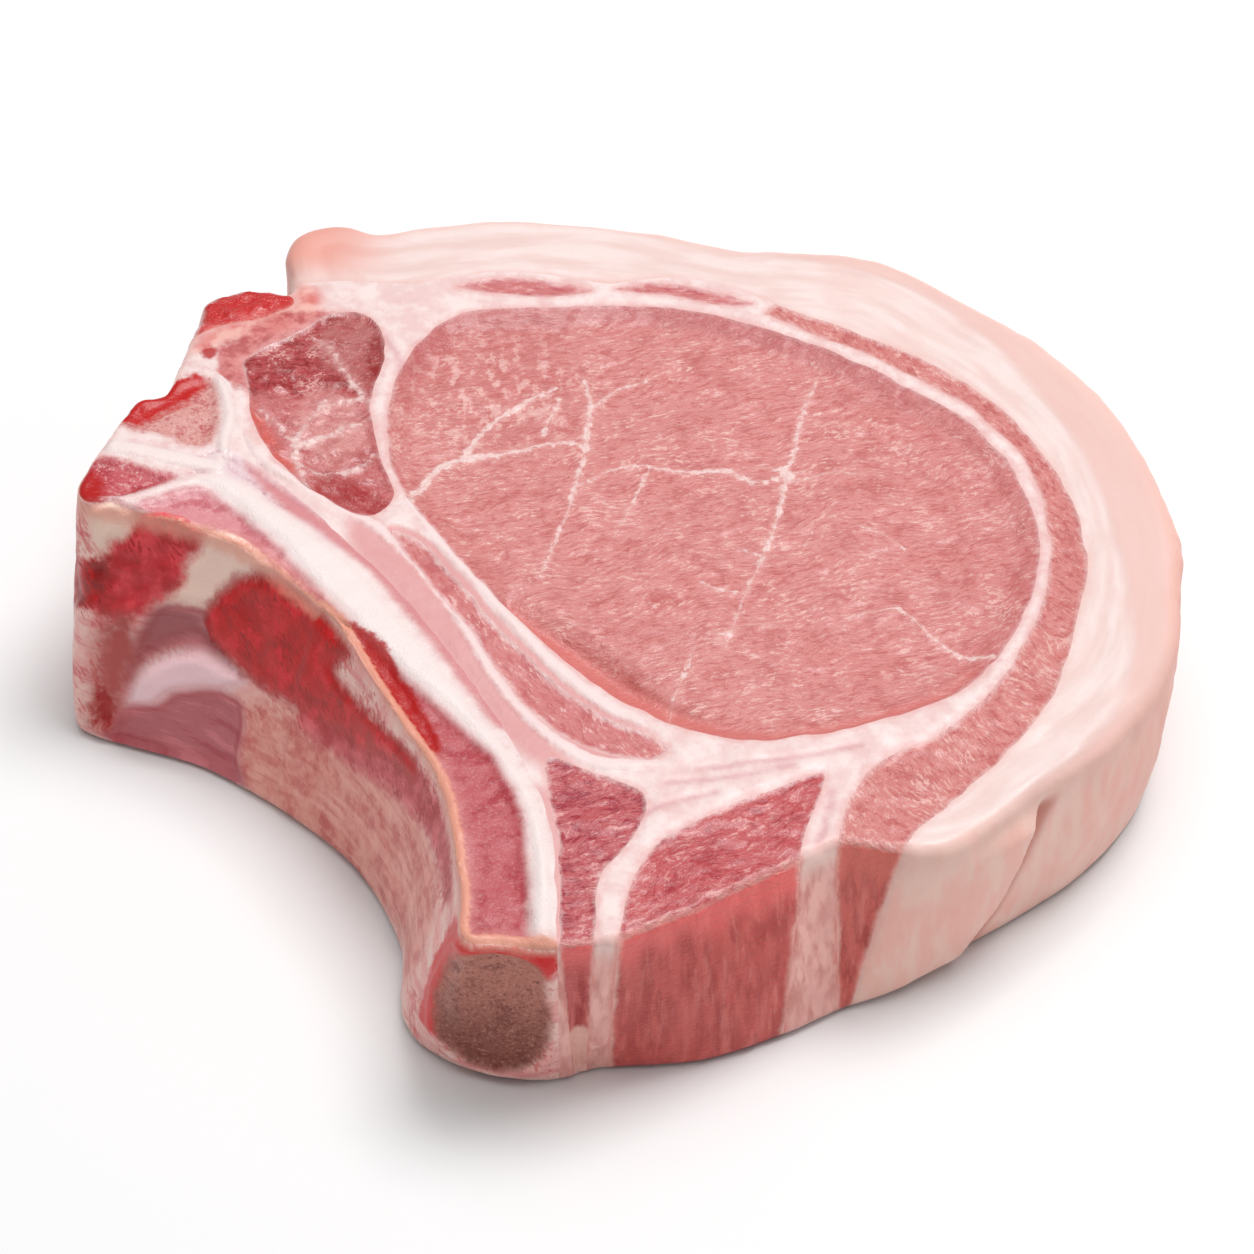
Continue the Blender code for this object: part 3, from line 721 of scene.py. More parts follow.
def muscle(name, ground, pale, dark, flecks=0.9, depths=0.8, sheath=SEAM_PINK, sheath_width=0.2, turn=0.3,
           length=560.0, width=1750.0, patchy=0.6, curl=0.0008, **shine):
    """Starts the finish of a cut muscle and gives its colour and height so far."""
    finish = Finish(name, **shine)
    wires = finish.wires
    look = finish.group(
        fibres, turn=turn, fleck_length=length, fleck_width=width, patchiness=patchy, curl=curl)
    colour = wires.blend(wires.ease(look["Mottle"], 0.5, 0.33), ground, dark, 0.7)
    # Dark flecks: darker meat with painted shade in the pits; pale flecks: fibre ends with painted glints
    colour = wires.blend(look["Dark And Pit Shade"], colour, dark, depths)
    colour = wires.blend(look["Pale And Glint"], colour, pale, flecks)
    edge = wires.maths("SUBTRACT", sheath_width, wires.mark("depth"))
    colour = finish.patch(sheath, colour, edge, softness=0.5, ragged=0.4, amount=0.75)
    return finish, colour, look["Height"]


def slanted(x, y, degrees, along, across, seed):
    """Relief whose swells run at an angle."""
    turn = math.radians(degrees)
    run = x * math.cos(turn) + y * math.sin(turn)
    return ripple(run / along, (y * math.cos(turn) - x * math.sin(turn)) / across, seed)


def line_gap(points, lines):
    """How far inside the nearest of some tapering lines each point is, negative outside them all."""
    best = np.full(len(points), -20.0)
    for path, start, end in lines:
        line = evenly(spline(path, False), 1.2, False)
        best = np.maximum(best, -distance_to(points, line, False, np.linspace(start, end, len(line))))
    return best


def gap_to(lines, flat):
    """How far inside the nearest line each point of the cut face is."""
    return Field(lambda p: line_gap(p, lines)).at(flat)


def fibrous(spots, depth, degrees, strength=0.1, sink=0.2):
    """Relief of cut fibre bundles on a face that lies a little below its own border."""
    relief = 0.0
    for share, turn, along, across, seed in (
        (0.8, 0.0, 2.8, 1.15, 33), (1.0, 6.0, 1.7, 0.75, 34), (1.0, -8.0, 6.5, 3.4, 35),
    ):
        relief += share * strength * slanted(spots.x, spots.y, degrees + turn, along, across, seed)
    return smooth(depth / 0.9) * relief - sink * smooth(depth / 0.6)


spots, depth = parted("eye_of_loin", "loin_eye", Figure(closed_ring(LOIN_EYE, 20)))
eye = spots.piece
tear_line = evenly(spline(TEAR, False), 1.0, False)
tear = Field(lambda p: -distance_to(p, tear_line, False, tear_line[:, 2])).at(spots.flat)
vein = gap_to(VEINS, spots.flat)
torn = smooth((tear + 0.9) / 1.4)
face = fibrous(spots, depth, 22.0) * (1.0 - 0.85 * torn)
face -= EYE_SINK * smooth(depth / 4.0)
trough = smooth(1.0 + (tear - 1.4) / TEAR_WIDTH) * smooth((16.0 - spots.x) / 18.0)
face -= TEAR_DEPTH * trough * smooth(depth / 0.9) + 0.5 * torn * smooth(depth / 0.6)
face += 0.08 * smooth(vein / 0.3 + 0.7)
spots.raised(face)
spots.keep(
    depth=depth, vein=vein + 0.26 * ripple(spots.x / 0.9, spots.y / 0.9, 21), tear=tear,
    upper_edge=np.maximum(smooth((spots.y - 24.0) / 16.0) * bell(depth - 0.9, 2.4),
                          0.4 * smooth((spots.x - 24.0) / 20.0) * smooth(1.0 - depth / 14.0)),
    glassy=smooth(1.3 - np.hypot(*((spots.flat - GLASSY_CENTRE) / GLASSY_SPREAD).T)))
finish, colour, height = muscle("eye_lean", paint(222, 145, 142), paint(243, 192, 185), paint(202, 116, 114))
wires = finish.wires
# Pale and dark blotches over the glassy upper left: the pale ones are partly painted glints
blotch = wires.noise(wires.placed(560.0, 380.0, 400.0), 3.0, 0.62)
glassy = wires.mark("glassy")
colour = wires.within(glassy, wires.ease(blotch, 0.56, 0.4), colour, paint(204, 124, 121), 0.55)
colour = wires.within(glassy, wires.ease(blotch, 0.53, 0.6), colour, paint(242, 194, 187), 0.65)
colour = wires.blend(wires.mark("upper_edge"), colour, paint(196, 108, 110), 0.6)
colour = finish.patch(paint(222, 130, 125), colour, "tear", 1.3, 0.4, 400.0, 0.9)
colour = finish.patch(paint(238, 182, 176), colour, "vein", 0.9, 0.5, 700.0, 0.6)
colour = finish.patch(paint(249, 220, 216), colour, "vein", 0.25, 0.45, 1100.0, 0.9, -0.12)
settle(eye, finish.done(colour, height), "loin_eye", "loin_eye")

# Marbling
# Threads of fat that branch through the eye muscle, a third of a millimetre thick where they leave
# the sheath and finer further in. They stand a hair proud of the face, because the lean has dried
# and drawn back round them.
THREAD_STEP, THREAD_THICKNESS, THREAD_BEADING = 0.5, 0.00022, 1.9
SEARCH_HEIGHT, SPARE_HEIGHT = 0.06, 0.03
eye_face = BVHTree.FromPolygons(
    [tuple(vertex.co) for vertex in eye.data.vertices], [tuple(face.vertices) for face in eye.data.polygons])
strands = bpy.data.curves.new("marbling", "CURVE")
strands.dimensions = "3D"
for path, start, end in VEINS:
    line = evenly(spline(path, False), THREAD_STEP, False) - SLICE_CENTRE
    strand = strands.splines.new("POLY")
    strand.points.add(len(line) - 1)
    for k, (point, (x, y)) in enumerate(zip(strand.points, line / METRE)):
        landed = eye_face.ray_cast(Vector((x, y, SEARCH_HEIGHT)), Vector((0.0, 0.0, -1.0)))[0]
        point.radius = start + (end - start) * k / (len(line) - 1)
        point.co = (x, y, (landed.z if landed else SPARE_HEIGHT), 1.0)
bare_curves = bpy.data.objects.new("marbling", strands)
bpy.context.scene.collection.objects.link(bare_curves)

finish = Finish("marbling_fat", bump=0.1)
shade = finish.wires.noise(finish.wires.placed(900.0, 900.0, 900.0))
marbling_fat = finish.done(
    finish.wires.blend(shade, paint(238, 192, 186), paint(248, 216, 211)), shade)

threads, wires, given, result = new_group(
    "fat_threads",
    {"Geometry": None, "Thickness": 0.0005, "Spacing": 0.0003, "Beading": 0.8, "Bead Scale": 620.0,
     "Wander": 0.00035, "Sink": 0.6, "Thinnest": 0.00002, "Seed": 4.0},
    ("Geometry",), "Geometry",
)
even = wires.fed("GeometryNodeResampleCurve", {
    "Curve": given["Geometry"], "Length": given["Spacing"]}, mode="LENGTH")
beads = wires.fed("ShaderNodeTexNoise", {
    "Vector": wires.add("GeometryNodeInputPosition").outputs[0], "W": given["Seed"],
    "Scale": given["Bead Scale"], "Detail": 1.5}, noise_dimensions="4D")
swing = wires.times(wires.maths("SUBTRACT", beads.outputs["Fac"], 0.5), 2.0)
swell = wires.maths("ADD", 1.0, wires.times(swing, given["Beading"]))
share = wires.add("GeometryNodeInputRadius").outputs[0]
thickness = wires.times(wires.times(share, swell), given["Thickness"])
thickness = wires.maths("MAXIMUM", thickness, given["Thinnest"])
aside = wires.vector("SUBTRACT", beads.outputs["Color"], (0.5, 0.5, 0.5))
aside = wires.vector("MULTIPLY", wires.vector("SCALE", aside, scale=given["Wander"]), (1.0, 1.0, 0.0))
sunk = wires.times(wires.times(thickness, given["Sink"]), -1.0)
low = wires.add("ShaderNodeCombineXYZ", 0.0, 0.0, sunk).outputs[0]
laid = wires.fed("GeometryNodeSetPosition", {
    "Geometry": even.outputs[0], "Offset": wires.vector("ADD", aside, low)})
section = wires.fed("GeometryNodeCurvePrimitiveCircle", {"Resolution": 8, "Radius": 1.0})
tube = wires.fed("GeometryNodeCurveToMesh", {
    "Curve": laid.outputs[0], "Scale": thickness, "Profile Curve": section.outputs[0], "Fill Caps": True})
real = wires.add("GeometryNodeRealizeInstances", tube.outputs[0])
coated = wires.fed("GeometryNodeSetMaterial", {"Geometry": real.outputs[0], "Material": marbling_fat})
wires.put(result[0], coated.outputs[0])


def grown_mesh(holder, tree, name, **sizes):
    """Runs a node tree on an object and returns its result as a plain mesh object."""
    step = holder.modifiers.new("grown", "NODES")
    step.node_group = tree
    for item in tree.interface.items_tree:
        if item.in_out == "INPUT" and item.name in sizes:
            step[item.identifier] = sizes[item.name]
    graph = bpy.context.evaluated_depsgraph_get()
    mesh = bpy.data.meshes.new_from_object(holder.evaluated_get(graph))
    holder.modifiers.clear()
    bpy.data.objects.remove(holder, do_unlink=True)
    mesh.name = name
    made = bpy.data.objects.new(name, mesh)
    bpy.context.scene.collection.objects.link(made)
    return made


marbling = grown_mesh(
    bare_curves, threads, "eye_marbling", Thickness=THREAD_THICKNESS, Beading=THREAD_BEADING)
settle(marbling, marbling_fat, "seam_fat")

# Bone
# Half a backbone joint with its rib, sawn through. The saw leaves a white shell of hard bone round
# pink marrow; on the hollow side the bone keeps its red muscle and its shiny lining skin, and the rib
# shows a grey-brown marrow at its sawn end.
BONE_BORDER = [
    (-75.0, 34.5), (-61.9, 35.1), (-58.2, 33.0), (-55.0, 29.6), (-53.0, 22.0), (-51.4, 15.9),
    (-44.0, 7.2), (-34.1, -3.4), (-24.3, -16.9), (-14.6, -34.0), (-9.6, -47.0), (-8.3, -60.0),
    (-8.3, -80.0),
]
SHELL = [
    (-58.3, 9.9), (-53.0, 5.2), (-48.5, 0.7), (-43.2, -5.6), (-37.6, -12.9), (-29.3, -22.2),
    (-23.9, -28.4), (-18.5, -34.2), (-15.0, -39.5), (-12.0, -49.2), (-11.1, -68.9), (-8.3, -70.0),
    (-8.3, -60.7), (-9.6, -50.8), (-12.2, -41.6), (-17.0, -33.0), (-22.6, -23.5), (-28.6, -14.6),
    (-34.6, -6.0), (-41.0, 0.2), (-47.4, 5.6), (-53.4, 10.6), (-56.4, 10.9),
]
# White ridges between the marrows and dark lines in the gristle where the two bones meet
# Each line has its path and its half width at the two ends
RIDGES = [
    ([(-72.6, 15.6), (-66.4, 14.6), (-60.0, 13.2), (-55.6, 12.4)], 1.3, 1.2),
    ([(-55.0, 12.8), (-55.0, 17.5), (-54.6, 23.6), (-56.4, 30.4)], 0.9, 0.7),
    ([(-72.7, 4.3), (-67.5, 5.2), (-62.4, 7.7), (-58.3, 9.7)], 0.25, 0.3),
]
DARK_LINES = [
    ([(-54.4, 15.2), (-52.1, 12.8), (-49.9, 11.5), (-47.3, 9.2), (-44.7, 7.0), (-41.0, 4.2)],
     0.1, 0.1),
    ([(-55.9, 16.1), (-53.5, 12.1), (-50.5, 9.9), (-48.2, 7.1), (-45.7, 5.4)], 0.12, 0.05),
    ([(-58.4, 14.4), (-56.4, 15.2), (-55.8, 17.0)], 0.1, 0.05),
    ([(-50.4, 14.4), (-46.6, 9.9), (-41.9, 6.6)], 0.06, 0.1),
    ([(-68.0, 7.0), (-63.5, 9.3), (-59.4, 10.8), (-56.6, 11.2)], 0.05, 0.05),
]
# Patches on the sawn face: colour, border softness and raggedness, outline
FACE_PATCHES = [
    ("gristle", (240, 212, 216), 1.0, 0.3,
     [(-56.6, 16.6), (-53.6, 15.4), (-50.2, 12.4), (-44.0, 7.0), (-37.0, 0.2), (-38.6, -1.4),
      (-45.0, 4.0), (-51.0, 9.0), (-56.6, 11.8)]),
    ("joint_marrow", (226, 166, 160), 0.8, 0.4,
     [(-69.3, 20.0), (-67.3, 24.3), (-62.6, 28.7), (-59.1, 30.8), (-56.8, 29.3), (-55.9, 24.3),
      (-56.0, 20.4), (-56.9, 16.9), (-59.5, 16.1), (-62.4, 17.4), (-65.8, 18.6)]),
    ("joint_blood", (202, 48, 58), 0.9, 0.9,
     [(-71.0, 20.5), (-68.0, 25.8), (-63.4, 29.4), (-59.6, 31.2), (-58.6, 28.6), (-60.4, 25.8),
      (-63.2, 23.6), (-66.6, 20.9)]),
    ("corner_marrow", (206, 106, 112), 0.9, 0.5,
     [(-73.4, 12.4), (-69.5, 12.8), (-66.2, 11.6), (-63.7, 10.6), (-61.2, 10.2), (-61.8, 8.8),
      (-64.5, 7.0), (-67.1, 5.2), (-71.7, 4.2), (-75.6, 3.6), (-76.0, 8.1), (-75.0, 11.8)]),
    ("corner_blood", (190, 26, 40), 0.8, 0.7,
     [(-76.0, 12.2), (-71.9, 10.3), (-70.6, 7.2), (-71.0, 4.5), (-76.0, 3.6)]),
    ("body_marrow", (226, 152, 158), 1.0, 0.5,
     [(-66.0, 3.6), (-61.6, 6.6), (-56.8, 8.0), (-53.8, 5.9), (-50.1, 2.7), (-46.7, -1.0),
      (-44.1, -4.4), (-40.0, -9.6), (-44.0, -10.4), (-50.0, -5.6), (-56.0, -1.4), (-61.0, 1.4)]),
    ("rib_marrow", (200, 108, 113), 1.2, 0.3,
     [(-45.0, -5.4), (-41.0, -8.6), (-37.6, -12.9), (-29.3, -21.9), (-23.9, -28.2),
      (-18.5, -34.0), (-15.4, -38.6), (-12.8, -46.0), (-11.9, -53.0), (-11.4, -68.6), (-21.0, -68.6),
      (-22.0, -57.8), (-25.0, -41.9), (-33.4, -27.3), (-40.0, -15.0), (-45.0, -9.0)]),
    ("under_seam", (222, 150, 152), 0.9, 0.3,
     [(-52.0, 14.0), (-46.0, 8.6), (-38.0, 1.4), (-31.0, -5.2), (-24.6, -14.0), (-19.0, -23.4),
      (-14.4, -32.0), (-16.8, -31.2), (-22.2, -22.6), (-28.0, -13.8), (-33.8, -5.6), (-41.0, 1.0),
      (-48.0, 7.4)]),
    ("clotted_blood", (196, 18, 32), 0.4, 0.55,
     [(-38.6, -14.0), (-35.9, -14.8), (-33.4, -16.6), (-30.8, -19.8), (-29.2, -23.6), (-26.9, -27.8),
      (-24.7, -31.8), (-23.6, -36.0), (-25.6, -35.4), (-29.4, -31.0), (-32.3, -27.0), (-35.1, -22.6),
      (-37.8, -18.6)]),
]
# Patches on the wall: colour, border softness and raggedness, way round against share of the way down
WALL_PATCHES = [
    ("tan_lining", (196, 134, 124), 3.0, 0.5,
     [(69.5, 0.63), (63, 0.52), (58.5, 0.48), (49.5, 0.42), (42.5, 0.35), (35, 0.3), (28.5, 0.27),
      (18.5, 0.28), (11.5, 0.35), (12, 0.8), (24, 0.9), (40.5, 1.05), (51.5, 1.08), (65, 1.08),
      (68.5, 0.9), (68.5, 0.75)]),
    ("lower_lining", (170, 104, 108), 1.2, 0.2,
     [(93, 0.9), (90.5, 0.82), (86, 0.78), (83, 0.7), (78.5, 0.65), (73, 0.62), (70, 0.63),
      (68.5, 0.75), (68.5, 0.9), (66, 1.06), (82.5, 1.08), (94, 1.06)]),
    ("upper_lining", (154, 98, 100), 1.4, 0.2,
     [(87, 0.35), (84.5, 0.32), (78.5, 0.3), (77.5, 0.4), (74, 0.46), (71, 0.52), (79, 0.5),
      (83.5, 0.53), (88, 0.63), (90.5, 0.75), (91.5, 0.7), (90.5, 0.57)]),
    ("white_cord", (212, 176, 180), 1.3, 0.2,
     [(90.5, 0.8), (89.5, 0.72), (87.5, 0.63), (84, 0.55), (80, 0.5), (76, 0.5), (69.5, 0.52),
      (73, 0.6), (78.5, 0.65), (83, 0.7), (86, 0.78), (90.5, 0.82)]),
    ("sawn_cartilage", (224, 180, 168), 1.2, 0.6,
     [(81, -0.1), (77.5, -0.1), (66, -0.1), (70, 0.03), (72, 0.07), (75, 0.15), (76, 0.23),
      (78.5, 0.3), (84.5, 0.32), (87, 0.35), (83, 0.23), (82.5, 0.13), (81, 0.08)]),
    ("wall_marrow", (176, 70, 74), 1.3, 0.7,
     [(89, -0.1), (87.5, -0.1), (80, -0.1), (81, 0.07), (82.5, 0.13), (83, 0.23), (85, 0.3), (88, 0.38),
      (92, 0.48), (94.5, 0.45), (97.5, 0.42), (97.5, 0.25), (94.5, 0.22), (93.5, 0.12), (91, 0.05)]),
    ("corner_cartilage", (228, 182, 168), 1.0, 0.5,
     [(97, -0.1), (89, -0.1), (91, 0.05), (91.5, 0.1), (93.5, 0.12), (94.5, 0.18), (96, 0.13)]),
    ("bloody_corner", (156, 22, 36), 1.0, 0.9,
     [(98.5, 0.25), (94.5, 0.2), (93.5, 0.25), (94, 0.37), (98, 0.45), (101, 0.5), (102, 0.2),
      (100, 0.1)]),
    ("brown_groove", (158, 84, 81), 2.4, 0.7,
     [(94.4, 0.5), (91, 0.42), (89.0, 0.57), (90.6, 0.73), (92, 0.92), (95.6, 0.97), (95.4, 0.8),
      (95.2, 0.65)]),
    ("groove_blood", (152, 14, 26), 0.8, 0.8,
     [(93.6, 0.8), (92.8, 0.86), (93.2, 0.95), (94.8, 0.97), (95.4, 0.88), (94.6, 0.78)]),
    ("rib_streaks", (178, 88, 92), 1.8, 1.3,
     [(58, 0.42), (50, 0.3), (42, 0.16), (34, 0.08), (26, 0.05), (17, 0.05), (11, 0.08), (11, 0.2),
      (17, 0.22), (26, 0.27), (34, 0.34), (42, 0.44), (50, 0.52), (58, 0.54)]),
    ("rib_muscle_red", (172, 54, 60), 1.0, 0.5,
     [(74.5, 0.13), (70, 0.04), (67.5, 0.01), (62, 0.0), (56.5, 0.02), (52, 0.04), (53.5, 0.1),
      (54, 0.18), (48, 0.18), (39, 0.1), (32, 0.08), (32, 0.16), (40, 0.24), (42.5, 0.32), (49.5, 0.4),
      (55.5, 0.45), (62, 0.47), (68, 0.5), (73.5, 0.47), (78, 0.42), (79, 0.35), (77.5, 0.25), (75, 0.15)]),
    ("sawn_back", (182, 82, 82), 2.2, 0.8,
     [(103, 0.06), (112, 0.06), (124, 0.06), (130, 0.2), (128, 0.5), (118, 0.72), (106, 0.66), (102, 0.4)]),
    ("rib_rim_blood", (184, 16, 28), 0.8, 0.7,
     [(458.4, 0.05), (462, 0.0), (470, 0.0), (475.6, 0.04), (477.6, 0.25), (477.0, 0.5), (475.4, 0.84),
      (471.4, 0.78), (472.0, 0.4), (471.0, 0.16), (468.6, 0.1), (463, 0.1), (460.6, 0.18)]),
    ("rib_end_marrow", (162, 108, 97), 0.9, 0.4,
     [(460.4, 0.3), (461.0, 0.13), (463.4, 0.06), (467, 0.05), (470.5, 0.08), (472.6, 0.2), (473, 0.5),
      (471.2, 0.8), (466.8, 0.95), (462.2, 0.87), (460.0, 0.6)]),
]


def side_ring(line, corners):
    return clockwise(np.vstack([line, np.array(corners, dtype=float)]))


def deeper(shade, much=1.0):
    """A darker and redder tone of the same meat."""
    return [part * (1.0 - much * loss) for part, loss in zip(shade, (0.12, 0.34, 0.30))]


def paler(shade, gain, lift):
    """A paler tone, short of white."""
    return [min(gain * part + lift, 240) for part in shade]


# Points on the wall nearer the rib end than this, and rings that lie past it, count on round the rim
WRAP_UNDER, WRAPPED_FROM = 60.0, 400.0
bone_line = open_line(BONE_BORDER, 24)
spots, depth = parted("sawn_bone", "bone", Figure(
    side_ring(bone_line, [(-8.3, -95.0), (-110.0, -95.0), (-110.0, 34.5)])))
flat, drop = spots.flat, spots.drop
u = np.where(spots.u < WRAP_UNDER, spots.u + girth, spots.u)
marks = {}
off_face = 6.0 * smooth((spots.side - 0.5) / 0.4)
for name, _, _, _, rows in FACE_PATCHES:
    marks[name] = depth_of(rows, 60, flat) - off_face
for name, _, _, _, rows in WALL_PATCHES:
    places = np.array(rows, dtype=float) * (1.0, WALL_DEPTH)
    ring = evenly(spline(places, True, 8), 1.0, True)
    along = u if places[0, 0] > WRAPPED_FROM else spots.u
    marks[name] = depth_in(np.column_stack([along, drop]), ring) - 5.0 * (1.0 - spots.side)
shell = depth_of(SHELL, 61, flat) - 5.0 * spots.side
ridge, lines = [gap_to(rows, flat) - 5.0 * spots.side for rows in (RIDGES, DARK_LINES)]
marrow = np.max([marks[name] for name, *_ in FACE_PATCHES if name.endswith("marrow")], axis=0)
lip = rim_gap.at(flat)
face = 0.45 * smooth(shell / 1.6) + 0.45 * smooth(ridge / 0.8 + 0.4) - 0.6 * smooth(marrow / 1.8)
face += smooth(marrow / 0.6) * swells(spots.x, spots.y, (0.06, 0.8, 0.8, 63))
face += swells(spots.x, spots.y, (0.10, 2.4, 2.4, 62)) - 0.25 * smooth(lines / 0.2 + 1.5)
face -= 0.4 * smooth(marks["clotted_blood"] / 0.8) * (shell < 0.0)
face += 0.35 * bell(lip - 0.5, 0.8) * (0.4 + swells(spots.x, spots.y, (0.6, 0.9, 0.9, 64)))
wall = swells(u, drop, (0.30, 9.0, 9.0, 65), (0.16, 2.6, 3.4, 66))
wall -= 1.3 * smooth(np.maximum(marks["upper_lining"], marks["lower_lining"]) / 2.5)
for name, height, width in (
    ("white_cord", 1.1, 1.3), ("rib_muscle_red", 0.4, 2.0), ("corner_cartilage", 0.5, 1.4),
    ("sawn_cartilage", 0.4, 1.4), ("bloody_corner", -0.6, 1.5), ("wall_marrow", 0.3, 2.0),
    ("rib_end_marrow", -0.8, 1.2), ("brown_groove", -0.6, 1.0), ("groove_blood", -0.5, 0.6),
):
    wall += height * smooth(marks[name] / width)
wall += 0.5 * bell(marks["rib_end_marrow"] + 1.2, 1.0)
wall += smooth(marks["rib_end_marrow"]) * swells(u, drop, (0.16, 0.8, 0.8, 67))
bloody = np.maximum(marks["wall_marrow"], marks["bloody_corner"])
wall += smooth(bloody) * swells(u, drop, (0.16, 1.3, 1.3, 68))
spots.raised(face * smooth(depth / 1.0), wall * smooth(depth / 1.2))
spots.keep(
    side=spots.side, shell=shell, ridge=ridge, lines=lines, run=u, drop=drop,
    rim_line=0.4 + 0.7 * smooth((u - 452.0) / 6.0) - np.where(spots.side > 0.8, 6.0, lip)
    - 3.0 * smooth((spots.y - 2.0) / 3.0),
    rim_glow=smooth(1.0 - lip / 3.2) * (1.0 - spots.side) * smooth((6.0 - spots.y) / 6.0),
    rim_beads=1.0 - lip - 4.0 * smooth((6.0 - spots.y) / 4.0) - 4.0 * smooth((spots.y - 17.0) / 3.0)
    - 5.0 * spots.side,
    wall_lip=1.5 - drop - 5.0 * (1.0 - spots.side) - 1.1 * smooth((u - 457.0) / 3.0),
    foot_shade=smooth((drop - 8.0) / 18.0), **marks)

# Fine dark dashes that slant down the wall, grit and cloud
dashes, wires, given, result = new_group("slanted_dashes", {"Spread": 0.5}, ("Dash", "Grit", "Cloud"))
turned = wires.fed("ShaderNodeVectorRotate", {
    "Vector": wires.placed(), "Axis": (0.7, 0.7, 0.0), "Angle": 0.7}, rotation_type="AXIS_ANGLE")
dash = wires.noise(wires.vector("MULTIPLY", turned.outputs[0], (1900.0, 1900.0, 560.0)), 2.0, 0.6)
crowd = wires.noise(wires.placed(200.0, 200.0, 200.0), 2.0, 0.5)
crowd = wires.times(wires.maths("SUBTRACT", crowd, 0.5), given["Spread"])
wires.put(result["Dash"], wires.ease(wires.maths("ADD", dash, crowd), 0.57, 0.68))
wires.put(result["Grit"], wires.noise(wires.placed(1900.0, 1900.0, 1900.0), 2.0, 0.7))
wires.put(result["Cloud"], wires.noise(wires.placed(330.0, 330.0, 260.0), 4.0, 0.62))

finish = Finish("bone_and_marrow", roughness=0.36, coat=0.12, bump=0.3, reach=0.0003)
wires = finish.wires
look = finish.group(dashes, spread=0.8)
cloud = look["Cloud"]
streaks = wires.noise(wires.along("run", 0.07, "drop", 0.42), 4.0, 0.62)
pale_grit, dark_grit = wires.ease(look["Grit"], 0.44, 0.34), wires.ease(look["Grit"], 0.55, 0.66)
soft_cloud = wires.ease(cloud, 0.36, 0.62)
base = wires.blend(soft_cloud, paint(238, 202, 200), paint(249, 228, 225))
wall_base = wires.blend(soft_cloud, wall_paint(204, 148, 143), wall_paint(220, 174, 166))
wall_base = wires.blend(wires.ease(streaks, 0.5, 0.36), wall_base, wall_paint(190, 116, 118), 0.7)
wall_base = wires.blend(look["Dash"], wall_base, wall_paint(176, 70, 72), 0.6)
colour = wires.blend(wires.mark("side"), base, wall_base)
for name, shade, softness, ragged, _ in FACE_PATCHES:
    colour = finish.patch(paint(*shade), colour, name, softness, ragged)
    if name.endswith("marrow"):
        inner = finish.mask(name, 0.8, 0.3)
        grainy = 0.15 if name in ("rib_marrow", "body_marrow") else 0.5
        colour = wires.within(inner, wires.ease(cloud, 0.52, 0.38), colour, paint(*deeper(shade)), 0.7)
        colour = wires.within(inner, dark_grit, colour, paint(176, 62, 74), grainy)
        colour = wires.within(inner, pale_grit, colour, paint(244, 204, 200), grainy)
colour = finish.patch(paint(251, 235, 232), colour, "shell", 1.2, 0.25)
colour = finish.patch(paint(250, 232, 229), colour, "ridge", 1.0, 0.3)
colour = finish.patch(paint(196, 134, 152), colour, "lines", 0.3, 0.3, 900.0, 0.7)
colour = wires.blend(wires.mark("rim_glow"), colour, paint(234, 168, 164), 0.6)
colour = finish.patch(paint(190, 14, 28), colour, "clotted_blood", 0.4, 0.6, 800.0, 0.9)
for name, shade, softness, ragged, _ in WALL_PATCHES:
    colour = finish.patch(wall_paint(*shade), colour, name, softness, ragged)
    darker = wall_paint(*deeper(shade))
    if name in ("rib_muscle_red", "rib_streaks", "wall_marrow", "tan_lining", "sawn_back", "bloody_corner"):
        inner = finish.mask(name, 1.0, 0.4)
        dashed = 0.25 if name == "tan_lining" else 0.8
        pale = wall_paint(*paler(shade, 1.1, 8))
        colour = wires.within(inner, wires.ease(cloud, 0.52, 0.36), colour, darker, 0.7)
        colour = wires.within(inner, wires.ease(cloud, 0.5, 0.64), colour, pale, 0.6)
        colour = wires.within(inner, look["Dash"], colour, wall_paint(*deeper(shade, 1.3)), dashed)
    if name.endswith("lining"):
        inner = finish.mask(name, 1.4, 0.4)
        pale = wall_paint(*paler(shade, 1.06, 12))
        colour = wires.within(inner, wires.ease(streaks, 0.52, 0.66), colour, pale, 0.7)
        colour = wires.within(inner, wires.ease(streaks, 0.48, 0.36), colour, darker, 0.5)
    if name == "rib_end_marrow":
        inner = finish.mask(name, 0.9, 0.3)
        colour = wires.within(inner, wires.mark("foot_shade"), colour, wall_paint(118, 78, 70), 0.8)
        colour = wires.within(inner, wires.ease(cloud, 0.5, 0.36), colour, wall_paint(112, 72, 66), 0.6)
        colour = wires.within(inner, dark_grit, colour, wall_paint(184, 138, 126), 0.4)
        colour = wires.within(inner, pale_grit, colour, wall_paint(100, 60, 54), 0.7)
edge = wires.maths("SUBTRACT", 0.7, wires.maths("ABSOLUTE", wires.mark("rib_muscle_red")))
colour = finish.patch(wall_paint(150, 34, 42), colour, edge, 0.8, 0.9, 500.0, 0.55)
colour = finish.patch(paint(242, 172, 150), colour, "rim_line", 0.4, 0.45, 1000.0, 0.9)
colour = finish.patch(paint(176, 26, 38), colour, "rim_beads", 0.5, 0.6, 900.0, 0.85)
colour = finish.patch(paint(228, 160, 144, 0.9), colour, "wall_lip", 1.1, 0.4, 700.0, 0.7)
height = wires.maths("ADD", look["Grit"], wires.times(look["Dash"], -0.4))
settle(spots.piece, finish.done(colour, height), "bone", "bone")

